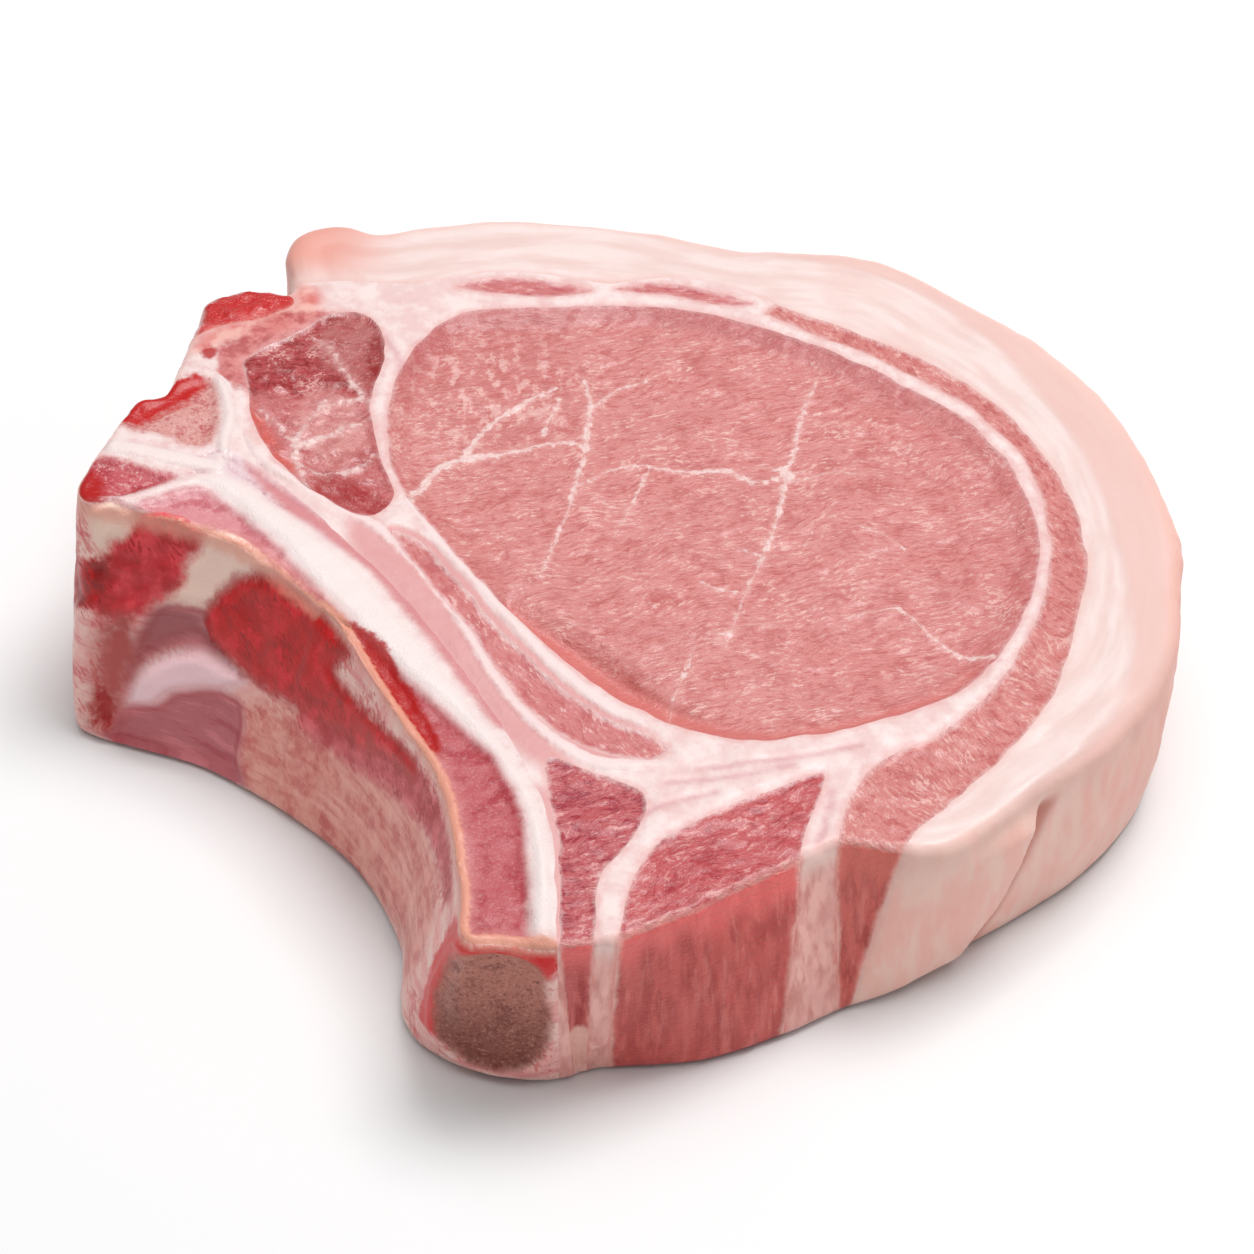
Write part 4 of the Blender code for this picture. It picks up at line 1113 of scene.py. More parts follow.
# Back fat
# The firm white layer under the skin, with the skin taken off. It is creamy on the cut face, pinker
# where its shoulder rounds over to the outer wall, and folds once on the near side.
FAT_BORDER = [
    (-62.0, 56.5), (-48.0, 53.0), (-41.0, 53.9), (-31.0, 53.6), (-25.0, 55.0), (-17.0, 57.0),
    (-8.0, 56.2), (-2.0, 55.4), (6.0, 57.0), (14.0, 55.8), (22.5, 51.6), (29.5, 48.3),
    (41.1, 42.6), (48.7, 36.9), (54.7, 29.8), (59.8, 21.2), (62.6, 12.5), (63.5, 2.3),
    (62.4, -5.3), (59.5, -16.5), (55.1, -26.6), (49.3, -34.8), (42.6, -42.6), (36.9, -50.0),
    (37.5, -62.0),
]
# Low ridge on the cut face beyond which the fat turns down to the skin side
FAT_RIDGE = [
    (-60.0, 66.0), (-40.0, 66.4), (-14.0, 68.6), (14.2, 64.8), (23.0, 62.0), (40.3, 57.0), (50.8, 47.9),
    (58.0, 36.7), (64.1, 22.8), (67.7, 6.3), (68.2, -12.5), (63.7, -27.2), (50.0, -44.0),
]
FAT_FOOT_X = -6.5
# Way round the rim of the fold and how far it leans, and of the two tinted stretches of wall: the
# orange blush, which is also painted shade, and the dried strip
CREASE_AT, CREASE_LEAN = 386.6, 12.5
BLUSH_SHADE_AT, BLUSH_SHADE_REACH, DRIED_AT = 342.0, 48.0, 318.0
fat_line = open_line(FAT_BORDER, 26)
spots, depth = parted("outer_fat", "back_fat", Figure(
    side_ring(fat_line, [(37.5, -95.0), (110.0, -95.0), (110.0, 100.0), (-75.0, 100.0), (-75.0, 56.5)]),
    shift=FAT_FOOT_X))
flat = spots.flat
lip = rim_gap.at(flat)
ridge_line = evenly(spline(FAT_RIDGE, False), 1.5, False)
outer_ring = side_ring(ridge_line, [(50.0, -120.0), (140.0, -120.0), (140.0, 120.0), (-60.0, 120.0)])
beyond = Field(lambda p: depth_in(p, outer_ring)).at(flat)
turn = np.arctan2(spots.y, spots.x - 4.0) * 62.0
u, drop = spots.u, spots.drop
face = -0.3 * smooth((beyond + 1.2) / 2.8) - 0.5 * smooth(beyond / 9.0) + 0.22 * bell(beyond + 0.9, 1.4)
face += swells(lip, turn, (0.16, 2.6, 16.0, 70), (0.06, 1.2, 8.0, 71))
face += swells(turn, lip, (0.16, 5.0, 6.0, 72))
crease = u - (CREASE_AT + CREASE_LEAN * spots.t)
wall = swells(
    u, drop, (0.45, 15.0, 24.0, 73), (0.26, 4.8, 22.0, 74), (0.10, 1.8, 9.0, 75), (0.10, 3.0, 3.0, 76))
wall += 1.5 * smooth(crease / 1.2) * smooth((18.0 - crease) / 14.0) * smooth(spots.t * 6.0)
wall -= 1.1 * bell(crease + 0.6, 1.1) * smooth(spots.t * 8.0)
spots.raised(face * smooth(depth / 2.0), wall * smooth(depth / 2.0))
# Orange tint on the right of the near wall, painted darker there as shade
flushed_and_shaded = smooth(1.0 - np.abs(u - BLUSH_SHADE_AT) / BLUSH_SHADE_REACH) * smooth(1.6 - np.abs(drop - 8.0) / 22.0)
past_dried = 4.0 * smooth(np.abs(u - DRIED_AT) / 12.0 - 2.4)
spots.keep(
    depth=depth, side=spots.side, lip=lip, turn=turn,
    beyond=smooth((beyond + 0.8) / 2.4) * (1.0 - spots.side) + spots.side * smooth(1.0 - drop / 7.0),
    # Painted shadow cast by the fold's flap on the wall beside it
    groove=bell(crease + 1.7, 1.7) * smooth(spots.t * 8.0) * spots.side,
    cut_end=smooth((-30.0 - spots.x) / 14.0) * smooth((spots.y - 52.0) / 8.0),
    blush=flushed_and_shaded * spots.side, dried=0.5 - np.abs(drop - 1.0) - past_dried - 4.0 * (1.0 - spots.side))
finish = Finish("firm_fat", roughness=0.42, coat=0.12, bump=0.3, reach=0.0004)
wires = finish.wires
layers = wires.noise(wires.along("turn", 0.08, "lip", 0.42), 2.0, 0.5)
cloud = wires.noise(wires.placed(120.0, 120.0, 120.0), 3.0, 0.55)
grit = wires.noise(wires.placed(900.0, 900.0, 600.0), 2.0, 0.6)
streaks = wires.noise(wires.placed(380.0, 380.0, 110.0), 3.0, 0.55)
face_colour = wires.blend(wires.ease(layers, 0.34, 0.66), paint(242, 213, 207), paint(249, 228, 224))
face_colour = wires.blend(wires.ease(cloud, 0.5, 0.72), face_colour, paint(242, 206, 199), 0.45)
face_colour = wires.blend(wires.mark("beyond"), face_colour, paint(240, 200, 192), 0.85)
wall_colour = wires.blend(
    wires.ease(streaks, 0.34, 0.66), wall_paint(211, 162, 152), wall_paint(219, 175, 164))
for mask, shade, amount in (
    (wires.ease(cloud, 0.48, 0.7), wall_paint(208, 152, 142), 0.5),
    (wires.mark("beyond"), paint(236, 196, 184, 0.95), 0.7),
    # Painted shadow of the fold
    (wires.mark("groove"), wall_paint(170, 110, 101), 0.75),
    (wires.mark("blush"), wall_paint(191, 125, 111), 0.75),
):
    wall_colour = wires.blend(mask, wall_colour, shade, amount)
colour = wires.blend(wires.mark("side"), face_colour, wall_colour)
colour = finish.patch(paint(240, 172, 142), colour, "dried", 1.6, 0.9, 300.0, 0.4)
colour = wires.blend(wires.mark("cut_end"), colour, paint(240, 158, 142), 0.75)
edge = wires.maths("SUBTRACT", 0.4, wires.mark("depth"))
colour = finish.patch(paint(240, 188, 182), colour, edge, 0.8, 0.4, amount=0.5)
height = wires.maths("ADD", layers, wires.times(grit, 0.5))
settle(spots.piece, finish.done(colour, height), "back_fat", "back_fat")

# Cap muscle
# A thin crescent that wraps the eye under the back fat. Its fibres run along the crescent, so they
# show as short pale strokes on the face, and where it meets the near wall it narrows towards the foot.
CAP_INNER = [
    (20.4, 49.6), (28.3, 45.3), (36.8, 40.7), (45.1, 35.1), (51.8, 28.3), (56.5, 20.1),
    (58.6, 8.0), (57.3, -3.7), (52.4, -16.9), (44.4, -28.0), (32.8, -36.8), (28.8, -44.0),
    (27.4, -50.0), (26.0, -62.0),
]
CAP_FOOT_X, CAP_START_X, CAP_TURN_Y = 1.8, 22.0, -30.0


class CapFigure(Figure):
    """A crescent whose outer line moves with the back fat and whose inner line moves its own way."""

    def __init__(self, outer, inner):
        ring = np.vstack([outer, inner[::-1]])
        order = 1 if clockwise(ring) is ring else -1
        super().__init__(ring[::order])
        self.is_outer = (np.arange(len(ring)) < len(outer))[::order]
        within = side_ring(inner, [(26.0, -95.0), (120.0, -95.0), (120.0, 60.0)])
        self.inner_side = Figure(within, shift=CAP_FOOT_X)

    def moved(self, flat, down):
        place = flat.copy()
        place[:, 0] += np.where(self.is_outer, FAT_FOOT_X, CAP_FOOT_X) * (self.nearness(flat) * down)
        return place

    def depth(self, points):
        near = np.minimum(-figures["back_fat"].depth(points), self.inner_side.depth(points))
        return np.where(points[:, 1] < CAP_TURN_Y, near, self.field.at(points[:, :2]))


cap_outer = fat_line[int(np.argmax(fat_line[:, 0] > CAP_START_X)):]
cap_inner = open_line(CAP_INNER, 28)
WALL_FAT = wall_paint(214, 166, 157)


def wall_lean(finish, colour, dark, ground, pale, lip):
    """Lean where it shows on the wall: fibres seen from the side, redder along the top edge."""
    wires = finish.wires
    fibre = wires.noise(wires.placed(640.0, 640.0, 130.0), 3.0, 0.55)
    cloud = wires.noise(wires.placed(210.0, 210.0, 110.0), 3.0, 0.55)
    strands = wires.noise(wires.placed(800.0, 800.0, 110.0), 4.0, 0.65)
    shade = wires.blend(wires.ease(fibre, 0.4, 0.6), dark, ground)
    shade = wires.blend(wires.ease(strands, 0.48, 0.7), shade, pale, 0.38)
    shade = wires.blend(wires.ease(cloud, 0.4, 0.7), shade, ground, 0.5)
    shade = wires.blend(wires.mark("lip"), shade, lip, 0.85)
    border = wires.maths("SUBTRACT", 0.2, wires.mark("depth"))
    shade = finish.patch(WALL_FAT, shade, border, 0.6, 0.4, 240.0, 0.95)
    colour = wires.blend(wires.ease(wires.mark("side"), 0.3, 0.9), colour, shade)
    # Pale beads along the rim: partly a moist fringe, partly painted glints on the wet edge
    return finish.patch(paint(246, 190, 182), colour, "rim_beads", 0.5, 0.7, 600.0, 0.5), fibre


def lean_marks(spots, depth, **more):
    """What every lean piece stores: depth from its border, wall share and red top edge."""
    ragged_drop = spots.drop + 1.6 * ripple(spots.u / 2.6, 0.0 * spots.u, 37)
    lip = smooth(spots.side * 1.6 - 0.5) * bell(np.maximum(ragged_drop - 1.5, 0.0), 3.8)
    # Pale beads just inside the rim, which carry painted glints
    beads = 0.5 - np.abs(rim_gap.at(spots.flat) - 0.4) - 3.0 * smooth((spots.side - 0.75) / 0.2)
    spots.keep(depth=depth, side=spots.side, lip=lip, rim_beads=beads, **more)


def wall_fibres(spots, depth, strength=0.2):
    """Relief of fibres that run down the wall."""
    relief = swells(spots.u, spots.drop, (strength, 1.5, 9.0, 35), (0.8 * strength, 3.8, 14.0, 36))
    return smooth(depth / 1.2) * relief


spots, depth = parted("cap_of_loin", "cap_muscle", CapFigure(cap_outer, cap_inner))
hollow = 0.9 * smooth(depth / 1.6) * smooth(spots.t * 2.0)
spots.raised(fibrous(spots, depth, -60.0), wall_fibres(spots, depth) - hollow)
lean_marks(spots, depth)
finish, colour, height = muscle(
    "cap_lean", paint(220, 141, 137), paint(240, 186, 179), paint(198, 110, 108), turn=-0.9, length=520.0,
    width=1500.0, sheath=paint(242, 202, 198), sheath_width=0.3)
colour, fibre = wall_lean(
    finish, colour, wall_paint(160, 82, 78), wall_paint(186, 100, 94), wall_paint(208, 136, 128),
    paint(214, 118, 108, 0.85))
settle(spots.piece, finish.done(colour, finish.wires.maths("ADD", height, fibre)), "cap_muscle", "cap_muscle")

# Chine muscle
# The coarse dark muscle beside the backbone, cut across many small bundles with fat between them. It
# is darkest near the bone, glassy brown at its far end and pale where the fat gathers.
CHINE_MUSCLE = [
    (-52.8, 31.0), (-53.4, 34.8), (-50.6, 38.2), (-45.6, 42.8), (-41.2, 46.6), (-37.0, 46.6),
    (-34.4, 43.2), (-33.8, 37.6), (-35.0, 30.0), (-35.0, 23.0), (-33.0, 15.6), (-31.2, 9.6),
    (-34.0, 5.6), (-38.0, 6.2), (-42.2, 9.2), (-46.2, 13.0), (-49.2, 17.0), (-51.2, 22.4),
    (-52.2, 27.0),
]
# Threads of fat between the bundles: path and half width at the two ends
CHINE_FAT = [
    ([(-41.2, 28.7), (-43.5, 23.5), (-45.3, 18.5), (-44.4, 13.8), (-43.1, 9.3)], 0.35, 0.5),
    ([(-34.4, 26.6), (-37.3, 30.7), (-40.5, 37.1), (-41.7, 39.2), (-44.6, 41.4)], 0.5, 0.2),
    ([(-45.3, 17.9), (-41.1, 20.6), (-38.0, 23.0), (-34.6, 24.4)], 0.7, 0.3),
    ([(-42.4, 25.6), (-39.4, 27.6), (-36.2, 28.4)], 0.3, 0.3),
    ([(-44.4, 13.8), (-40.6, 13.4), (-36.4, 15.0), (-34.4, 17.4)], 0.35, 0.3),
    ([(-50.6, 24.4), (-47.6, 21.6), (-45.3, 18.5)], 0.2, 0.3),
]
# Zones: colour, border softness and raggedness, outline
CHINE_ZONES = [
    ("lower_zone", (214, 130, 130), 1.6, 0.8,
     [(-54.0, 26.0), (-46.0, 29.0), (-36.0, 28.0), (-32.0, 20.0), (-29.0, 10.0), (-36.0, 2.0),
      (-54.0, 12.0)]),
    ("pale_zone", (228, 160, 156), 1.4, 1.0,
     [(-44.4, 28.4), (-41.7, 31.0), (-38.0, 28.1), (-36.0, 24.0), (-36.2, 18.6), (-38.7, 15.4),
      (-42.0, 15.8), (-44.6, 19.7), (-45.4, 24.3)]),
    ("coral_zone", (226, 116, 108), 1.2, 0.8,
     [(-52.5, 25.1), (-49.8, 23.2), (-47.6, 18.0), (-44.8, 13.6), (-46.8, 11.6), (-50.0, 15.0),
      (-52.5, 20.0)]),
    ("red_end", (178, 74, 76), 0.9, 0.6,
     [(-42.6, 12.4), (-40.3, 13.6), (-36.8, 12.4), (-33.4, 9.8), (-30.6, 6.9), (-31.4, 4.9), (-35.1, 5.9),
      (-39.3, 7.8), (-42.1, 9.8)]),
    ("glassy_zone", (196, 122, 120), 1.2, 0.4,
     [(-43.0, 43.1), (-39.4, 47.2), (-36.1, 46.9), (-33.2, 41.6), (-33.8, 31.0), (-36.5, 29.6),
      (-38.8, 33.3), (-41.9, 35.3), (-43.6, 39.6)]),
    ("dark_vessel", (158, 62, 64), 0.7, 0.3,
     [(-36.2, 41.4), (-34.9, 42.2), (-34.0, 39.4), (-34.2, 34.8), (-35.3, 32.7), (-36.4, 36.4)]),
]
spots, depth = parted("backbone_muscle", "chine_muscle", Figure(closed_ring(CHINE_MUSCLE, 40)))
zones = {name: depth_of(rows, 45, spots.flat) for name, _, _, _, rows in CHINE_ZONES}
web = gap_to(CHINE_FAT, spots.flat)
calm = 1.0 - 0.75 * smooth(zones["glassy_zone"] / 1.5 + 0.5)
rough = swells(spots.x, spots.y, (0.30, 2.2, 1.9, 41), (0.26, 5.0, 4.4, 42), (0.20, 1.1, 1.0, 43))
spots.raised(smooth(depth / 1.5) * calm * rough - 0.35 * smooth(depth / 0.8) + 0.12 * smooth(web / 0.4 + 0.5))
lean_marks(spots, depth, web=web + swells(spots.x, spots.y, (0.3, 1.2, 1.2, 46)), **zones)
finish, colour, height = muscle(
    "chine_lean", paint(188, 88, 91), paint(236, 178, 173), paint(152, 52, 62), turn=0.6, length=760.0,
    width=1300.0, patchy=1.2, curl=0.0024, flecks=0.85, roughness=0.28, coat=0.3, bump=0.7)
wires = finish.wires
cloud = wires.noise(wires.placed(420.0, 420.0, 420.0), 4.0, 0.65)
broken = wires.maths("SUBTRACT", 1.0, wires.times(wires.ease(cloud, 0.42, 0.6), 0.55))
for name, shade, softness, ragged, _ in CHINE_ZONES:
    colour = wires.within(finish.mask(name, softness, ragged, 500.0), broken, colour, paint(*shade), 0.95)
colour = finish.patch(paint(240, 192, 188), colour, "web", 1.1, 0.9, 700.0, 0.6)
colour = finish.patch(paint(248, 216, 212), colour, "web", 0.4, 0.7, 1000.0, 0.8, -0.15)
settle(spots.piece, finish.done(colour, height), "chine_muscle", "chine_muscle")

# Chine tip
# The bright red end of the muscle over the backbone, cut thin. It is wetter and glassier than the rest
# and keeps an orange-pink skin of fat along its border.
CHINE_TIP = [
    (-66.0, 38.6), (-61.0, 39.6), (-56.6, 42.6), (-50.0, 45.4), (-47.0, 48.6), (-48.8, 51.2),
    (-52.0, 56.0), (-60.0, 58.0), (-70.0, 50.0),
]
TIP_CORE = [
    (-62.6, 43.9), (-60.0, 49.6), (-52.2, 52.4), (-47.0, 51.2), (-47.6, 48.6), (-50.5, 46.8),
    (-55.5, 44.6), (-59.2, 42.2),
]
spots, depth = parted("backbone_tip", "chine_tip", Figure(closed_ring(CHINE_TIP, 40)))
core = depth_of(TIP_CORE, 47, spots.flat)
rough = swells(spots.x, spots.y, (0.30, 2.0, 1.8, 48), (0.22, 1.1, 1.0, 49))
spots.raised(smooth(depth / 1.2) * rough, wall_fibres(spots, depth, 0.3))
lean_marks(spots, depth, core=core)
finish, colour, height = muscle(
    "tip_lean", paint(224, 106, 104), paint(242, 172, 164), paint(204, 70, 78), turn=0.4, length=700.0,
    width=1000.0, patchy=0.8, curl=0.002, flecks=0.6, sheath=paint(240, 170, 158), roughness=0.24, coat=0.5,
    bump=0.7)
colour = finish.patch(paint(208, 44, 62), colour, "core", 0.9, 0.7, 500.0, 0.8)
colour, fibre = wall_lean(
    finish, colour, wall_paint(160, 62, 66), wall_paint(184, 86, 84), wall_paint(206, 128, 122),
    paint(226, 110, 104, 0.9))
settle(spots.piece, finish.done(colour, finish.wires.maths("ADD", height, fibre)), "chine_tip", "chine_tip")

# Rib muscle
# A narrow strap between the bone and the eye. Its fibres run along its length, and a pale sheath holds
# it on both sides.
RIB_MUSCLE = [
    (-31.4, 2.9), (-27.2, 1.0), (-22.7, -5.2), (-13.0, -18.6), (-3.4, -28.6), (6.0, -34.2),
    (3.6, -36.6), (-4.6, -34.9), (-12.6, -28.2), (-20.4, -15.0), (-28.4, -3.0),
]
spots, depth = parted("rib_strap", "rib_muscle", Figure(closed_ring(RIB_MUSCLE, 44)))
spots.raised(fibrous(spots, depth, -54.0))
lean_marks(spots, depth)
finish, colour, height = muscle(
    "rib_strap_lean", paint(218, 138, 137), paint(244, 192, 187), paint(198, 108, 111), turn=-0.94,
    length=420.0, width=1500.0, depths=0.6, sheath_width=0.5)
settle(spots.piece, finish.done(colour, height), "rib_muscle", "rib_muscle")

# Belly side muscles
# The muscle between the ribs and the first belly muscle. Both were cut through at the near side,
# where their fibres run down the wall and the top edge has dried to a brighter red.
INTERCOSTAL = [
    (-9.8, -37.2), (-3.0, -39.6), (3.0, -42.9), (1.6, -50.0), (-2.6, -56.0), (-3.3, -62.0),
    (-4.2, -80.0), (-7.8, -80.0), (-7.8, -61.0), (-8.2, -50.0),
]
BELLY_MUSCLE = [
    (0.4, -61.4), (3.5, -52.4), (9.2, -47.2), (20.0, -41.0), (26.0, -38.0), (25.2, -42.6),
    (23.2, -50.0), (21.6, -62.0), (10.0, -76.0), (0.6, -76.0),
]
for name, node, figure, ground, pale, dark, wall, wall_dark, turn, hollowing in (
    ("between_ribs", "intercostal_muscle",
     Figure(closed_ring(INTERCOSTAL, 46), start=-46.0, end=-60.0, pinch_at=-5.4),
     (200, 106, 110), (238, 174, 172), (164, 66, 78), (178, 92, 90), (146, 60, 62), 0.1, 0.7),
    ("belly_lean", "belly_muscle", Figure(closed_ring(BELLY_MUSCLE, 48), shift=-1.8, start=-44.0, end=-58.0),
     (204, 104, 107), (234, 166, 163), (178, 78, 84), (178, 90, 86), (158, 76, 74), 0.6, 0.0),
):
    spots, depth = parted(name, node, figure)
    hollow = hollowing * smooth(depth / 1.6) * smooth(spots.t * 2.5)
    spots.raised(fibrous(spots, depth, 40.0 * turn, 0.13), wall_fibres(spots, depth, 0.22) - hollow)
    lean_marks(spots, depth, fatty=smooth((spots.t - 0.6) / 0.06) * (hollowing > 0.0))
    finish, colour, height = muscle(
        name + "_cut", paint(*ground), paint(*pale), paint(*dark), turn=turn, length=480.0, width=1400.0,
        patchy=0.8, curl=0.0014, flecks=0.8, bump=0.6)
    colour, fibre = wall_lean(
        finish, colour, wall_paint(*wall_dark), wall_paint(*wall), wall_paint(208, 134, 126),
        paint(238, 114, 112, 0.8))
    wires = finish.wires
    colour = wires.blend(wires.mark("fatty"), colour, wall_paint(214, 164, 154))
    settle(spots.piece, finish.done(colour, wires.maths("ADD", height, fibre)), node, node)

# Streaks
# Two slivers of lean that lie in the fat behind the eye. They are paler than the muscles, because the
# fat shows through them.
STREAKS = {
    "streak_left": [(-24.0, 53.5), (-18.5, 55.4), (-11.0, 55.3), (-4.2, 53.7), (-11.0, 52.0), (-18.5, 52.4)],
    "streak_right": [(-1.2, 54.2), (4.5, 55.6), (12.0, 54.5), (19.0, 51.7), (14.0, 51.4), (6.0, 53.3)],
}
for name, rows in STREAKS.items():
    spots, depth = parted("lean_" + name, name, Figure(closed_ring(rows, 50)))
    spots.raised(fibrous(spots, depth, 0.0, 0.08, 0.15))
    lean_marks(spots, depth)
    finish, colour, height = muscle(
        name + "_lean", paint(214, 132, 132), paint(240, 186, 182), paint(196, 104, 110), turn=0.0,
        length=300.0, width=1200.0, flecks=0.6, sheath=paint(240, 196, 194), sheath_width=0.4)
    settle(spots.piece, finish.done(colour, height), name, name)

# Seam fat
# The softer fat and connective sheath that fills every space between the muscles and the bone. It is
# what is left of the slice when all other pieces are parted from it. Two tougher cords run through it.
SEAM_LINES = [
    ([(-52.5, 18.2), (-49.6, 14.1), (-44.2, 10.7), (-38.6, 6.5), (-34.4, 4.1), (-30.9, 0.6),
      (-27.3, -3.7), (-24.5, -8.2), (-21.0, -14.3), (-16.8, -22.7), (-13.4, -28.2), (-8.8, -33.7),
      (-2.9, -37.5), (3.6, -37.0)], 0.7, 0.9),
    ([(-29.1, 8.9), (-24.8, 1.6), (-19.2, -6.5), (-13.7, -14.4), (-10.3, -18.9), (-6.3, -23.4),
      (-2.3, -27.3), (2.3, -30.1)], 0.7, 0.8),
]
SEAM_CREASES = [
    ([(-34.0, 42.0), (-31.4, 36.0), (-30.8, 28.0)], 0.1, 0.1),
    ([(10.0, -38.0), (16.0, -37.0), (24.0, -35.2), (31.0, -33.0)], 0.1, 0.1),
    ([(6.0, -40.6), (14.0, -39.4), (22.0, -37.0)], 0.08, 0.08),
    ([(-1.2, -52.0), (1.0, -47.6), (5.6, -44.4), (12.0, -42.0)], 0.12, 0.08),
    ([(27.2, -40.6), (26.2, -46.0), (25.0, -50.4)], 0.14, 0.1),
]
# Thin lean that runs out from the chine muscle over the fat beside it
SEAM_FLESH = [
    (-42.0, 46.6), (-48.4, 46.0), (-53.2, 41.5), (-57.0, 37.2), (-57.2, 32.8), (-55.0, 29.6),
    (-52.0, 28.0), (-50.0, 33.0), (-46.0, 40.0), (-41.0, 45.0),
]
# Way round the rim where the low lobe begins, and the two notches in the wall: place, top and fade
LOBE_AT = 440.0
NOTCHES = ((453.2, 0.72, 0.2), (417.0, 0.35, 0.4))
# The cap's outer ring grows by this much in the cut, so that no sliver of fat is left along it
CAP_SPARE = 0.12
seam = bpy.data.objects.new("seams_of_fat", whole.data.copy())
bpy.context.scene.collection.objects.link(seam)
plain_line = evenly(spline(FAT_BORDER, False), BORDER_STEP, False)
grown_outer = cap_outer + CAP_SPARE * outward(plain_line)[-len(cap_outer):]
for name, figure in figures.items():
    if name == "cap_muscle":
        figure = CapFigure(grown_outer, cap_inner)
    cut(seam, figure.cutter(), "DIFFERENCE")
spots = Spots(seam)
away = {name: -figure.depth(spots.points) for name, figure in figures.items()}
near_lean = np.min([gap for name, gap in away.items() if name not in ("bone", "back_fat")], axis=0)
near_any = np.min(list(away.values()), axis=0)
cords, creases = gap_to(SEAM_LINES, spots.flat), gap_to(SEAM_CREASES, spots.flat)
soft = smooth(near_any / 1.6)
face = soft * (0.16 + swells(spots.x, spots.y, (0.08, 2.2, 2.2, 80), (0.18, 6.0, 6.0, 81)))
face += 0.3 * smooth(cords / 0.5 + 0.6) * smooth(near_any / 0.5) - 0.14 * smooth(creases / 0.5 + 1.6)
u, t, drop = spots.u, spots.t, spots.drop
wall = swells(u, drop, (0.24, 3.6, 5.0, 82), (0.25, 6.0, 12.0, 83))
wall += 0.5 * smooth((u - LOBE_AT) / 4.0) * smooth((t - 0.6) / 0.2)
for place, top, fade in NOTCHES:
    wall -= 1.3 * bell(u - place, 1.6) * smooth((t - top) / fade)
spots.raised(face, soft * wall)
beside = smooth(2.2 - away["bone"] / 3.2) * smooth(2.2 - away["rib_muscle"] / 3.6) * (spots.y < 14.0)
beside = np.maximum(beside, smooth(2.0 - away["rib_muscle"] / 0.6) * smooth((6.0 - spots.x) / 8.0))
beside = np.maximum(beside, 0.8 * smooth((-1.5 - spots.x) / 6.0) * smooth((-40.0 - spots.y) / 4.0))
spots.keep(
    lean_gap=near_lean, side=spots.side, cords=cords, creases=creases, beside=beside,
    blood=1.1 - np.hypot(spots.x + 58.4, 0.8 * (spots.y - 36.3)), lip=spots.side * bell(drop, 2.6),
    tipped=smooth(2.0 - away["chine_tip"] / 2.6) * smooth(2.2 - away["chine_muscle"] / 5.0),
    flesh=depth_of(SEAM_FLESH, 84, spots.flat) - 5.0 * spots.side)
finish = Finish("seam_sheath", roughness=0.45, coat=0.1, bump=0.3)
wires = finish.wires
cloud = wires.noise(wires.placed(240.0, 240.0, 160.0), 3.0, 0.55)
strands_fine = wires.noise(wires.placed(800.0, 640.0, 240.0), 3.0, 0.55)
lean = wires.noise(wires.placed(460.0, 460.0, 460.0), 4.0, 0.65)
lean = wires.blend(wires.ease(lean, 0.36, 0.64), paint(190, 88, 91), paint(226, 142, 138))
fleshy = wires.blend(wires.ease(cloud, 0.4, 0.6), paint(226, 124, 118), paint(244, 184, 174))
colour = wires.blend(wires.ease(cloud, 0.34, 0.62), paint(241, 207, 204), paint(250, 230, 227))
colour = wires.blend(wires.ease(strands_fine, 0.56, 0.74), colour, paint(236, 192, 192), 0.4)
colour = wires.blend(wires.mark("beside"), colour, paint(228, 162, 162), 0.85)
colour = wires.blend(wires.mark("tipped"), colour, fleshy, 0.9)
colour = finish.patch(lean, colour, "flesh", 0.9, 0.9, 500.0, 0.9)
edge = wires.maths("SUBTRACT", 0.5, wires.mark("lean_gap"))
colour = finish.patch(paint(234, 174, 171), colour, edge, 0.7, 0.5, 800.0, 0.6)
colour = finish.patch(paint(251, 228, 226), colour, "cords", 0.45, 0.3, 900.0, 0.9)
# Darker pink along the creases: painted shade in them
colour = finish.patch(paint(234, 180, 178), colour, "creases", 2.2, 0.5, 500.0, 0.55)
colour = finish.patch(paint(218, 160, 166), colour, "creases", 0.6, 0.3, 900.0, 0.6, 0.25)
colour = finish.patch(paint(188, 20, 38), colour, "blood", 0.4, 0.4, 700.0, 0.9)
wall_colour = wires.blend(
    wires.ease(strands_fine, 0.34, 0.62), wall_paint(186, 130, 124), wall_paint(208, 162, 154))
wall_colour = wires.blend(wires.ease(cloud, 0.42, 0.66), wall_colour, wall_paint(198, 148, 142), 0.6)
wall_colour = wires.blend(wires.mark("lip"), wall_colour, paint(244, 212, 204, 0.9), 0.8)
border = wires.maths("SUBTRACT", 0.1, wires.mark("lean_gap"))
wall_colour = finish.patch(wall_paint(184, 98, 92), wall_colour, border, 0.6, 0.4, 240.0, 0.7)
colour = wires.blend(wires.mark("side"), colour, wall_colour)
settle(seam, finish.done(colour, wires.maths("ADD", cloud, strands_fine)), "seam_fat", "seam_fat")

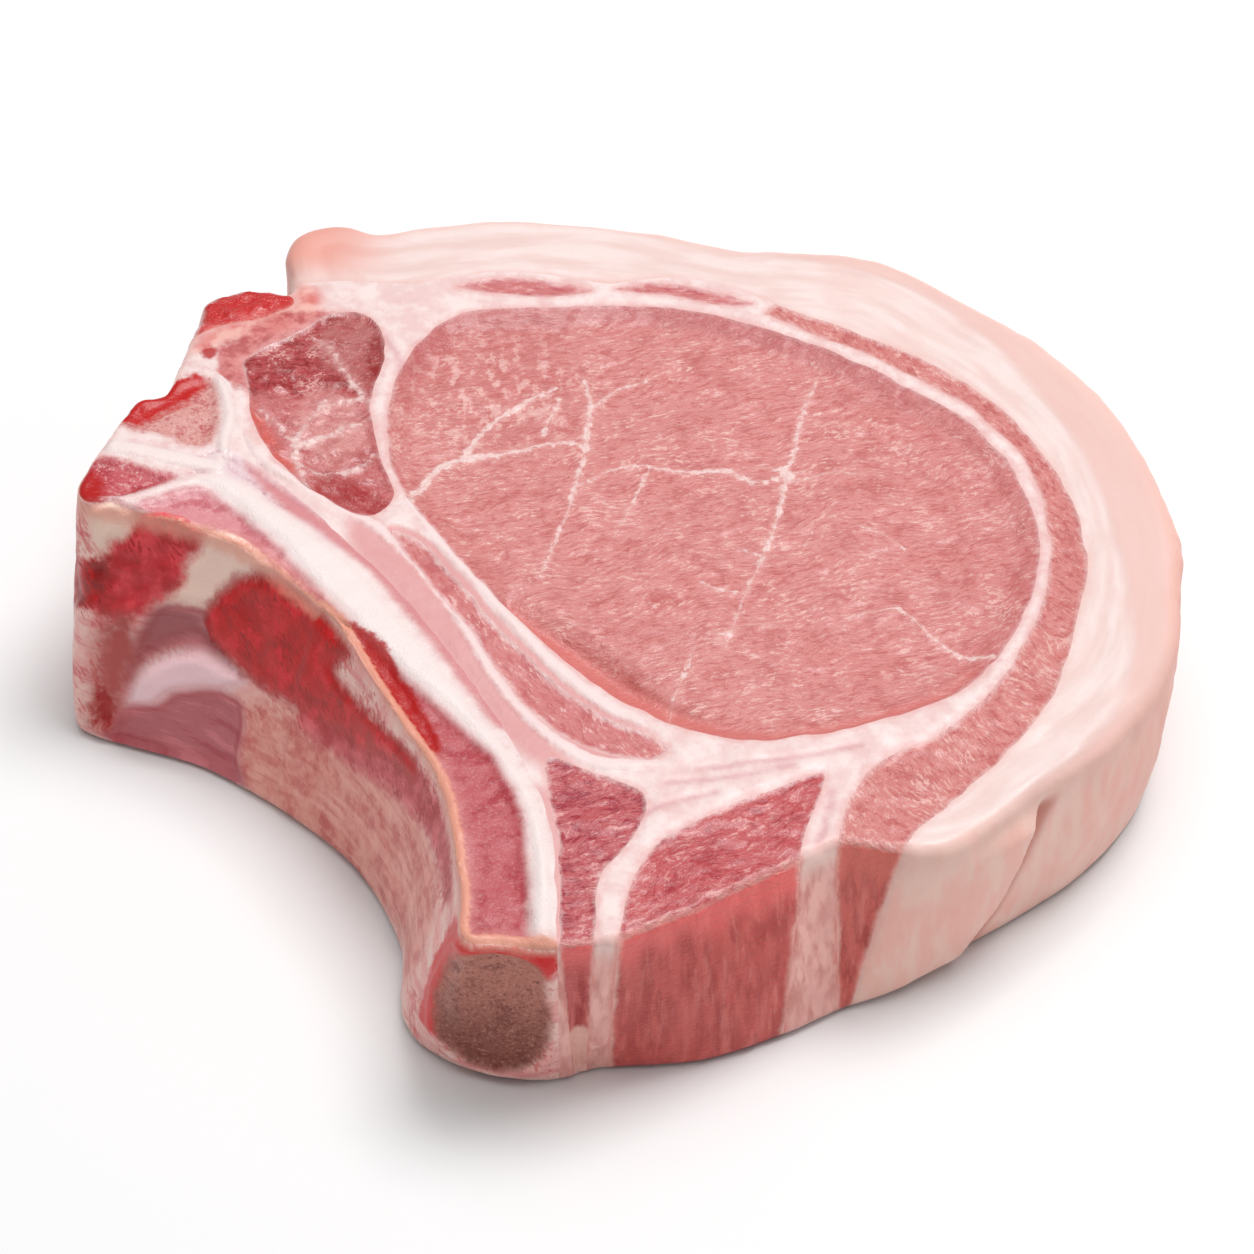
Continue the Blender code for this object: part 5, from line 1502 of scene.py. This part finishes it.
# Studio
# A white sweep under soft light from above and behind, which leaves the near walls in gentle shade. The
# lens looks down from in front at forty-five degrees.
FLOOR_REACH, FLOOR_GREY, ROOM_LIGHT = 1500, 0.77, 0.32
# Lamps: place in metres, side and power
LAMPS = {"soft_top": ((0.08, 0.1, 1.3), 1.3, 10.2), "soft_back": ((0.3, 0.22, 1.0), 0.45, 7.2)}
LENS, SENSOR = 120.0, 36.0
# The point that the lens is aimed at, how far back and up it stands, and its angle
AIM_X, AIM_Y, LENS_AWAY, LOOK_DOWN = 0.000356, 0.016765, 0.426506, 45.0
floor = mesh_of("floor", [
    (FLOOR_REACH * x, FLOOR_REACH * y, 0) for x, y in ((-1, -1), (1, -1), (1, 1), (-1, 1))], [(0, 1, 2, 3)])
white = bpy.data.materials.new("white_sweep")
white.use_nodes = True
surface = white.node_tree.nodes["Principled BSDF"].inputs
surface["Base Color"].default_value = (FLOOR_GREY, FLOOR_GREY, FLOOR_GREY, 1.0)
surface["Roughness"].default_value = 0.9
floor.data.materials.append(white)
for name, (place, side, power) in LAMPS.items():
    lamp = bpy.data.lights.new(name, "AREA")
    lamp.size, lamp.energy = side, power
    holder = bpy.data.objects.new(name, lamp)
    holder.location = place
    holder.rotation_euler = (-Vector(place)).to_track_quat("-Z", "Y").to_euler()
    bpy.context.scene.collection.objects.link(holder)
world = bpy.data.worlds.new("pale_room")
world.use_nodes = True
backdrop = world.node_tree.nodes["Background"].inputs
backdrop["Color"].default_value = (1.0, 1.0, 1.0, 1.0)
backdrop["Strength"].default_value = ROOM_LIGHT
bpy.context.scene.world = world
bpy.context.scene.view_settings.view_transform = "Standard"
lens = bpy.data.cameras.new("camera")
lens.lens, lens.sensor_width = LENS, SENSOR
viewer = bpy.data.objects.new("camera", lens)
viewer.location = (AIM_X, AIM_Y - LENS_AWAY, LENS_AWAY)
viewer.rotation_euler = (math.radians(LOOK_DOWN), 0.0, 0.0)
bpy.context.scene.collection.objects.link(viewer)
bpy.context.scene.camera = viewer

bpy.data.objects.remove(whole, do_unlink=True)
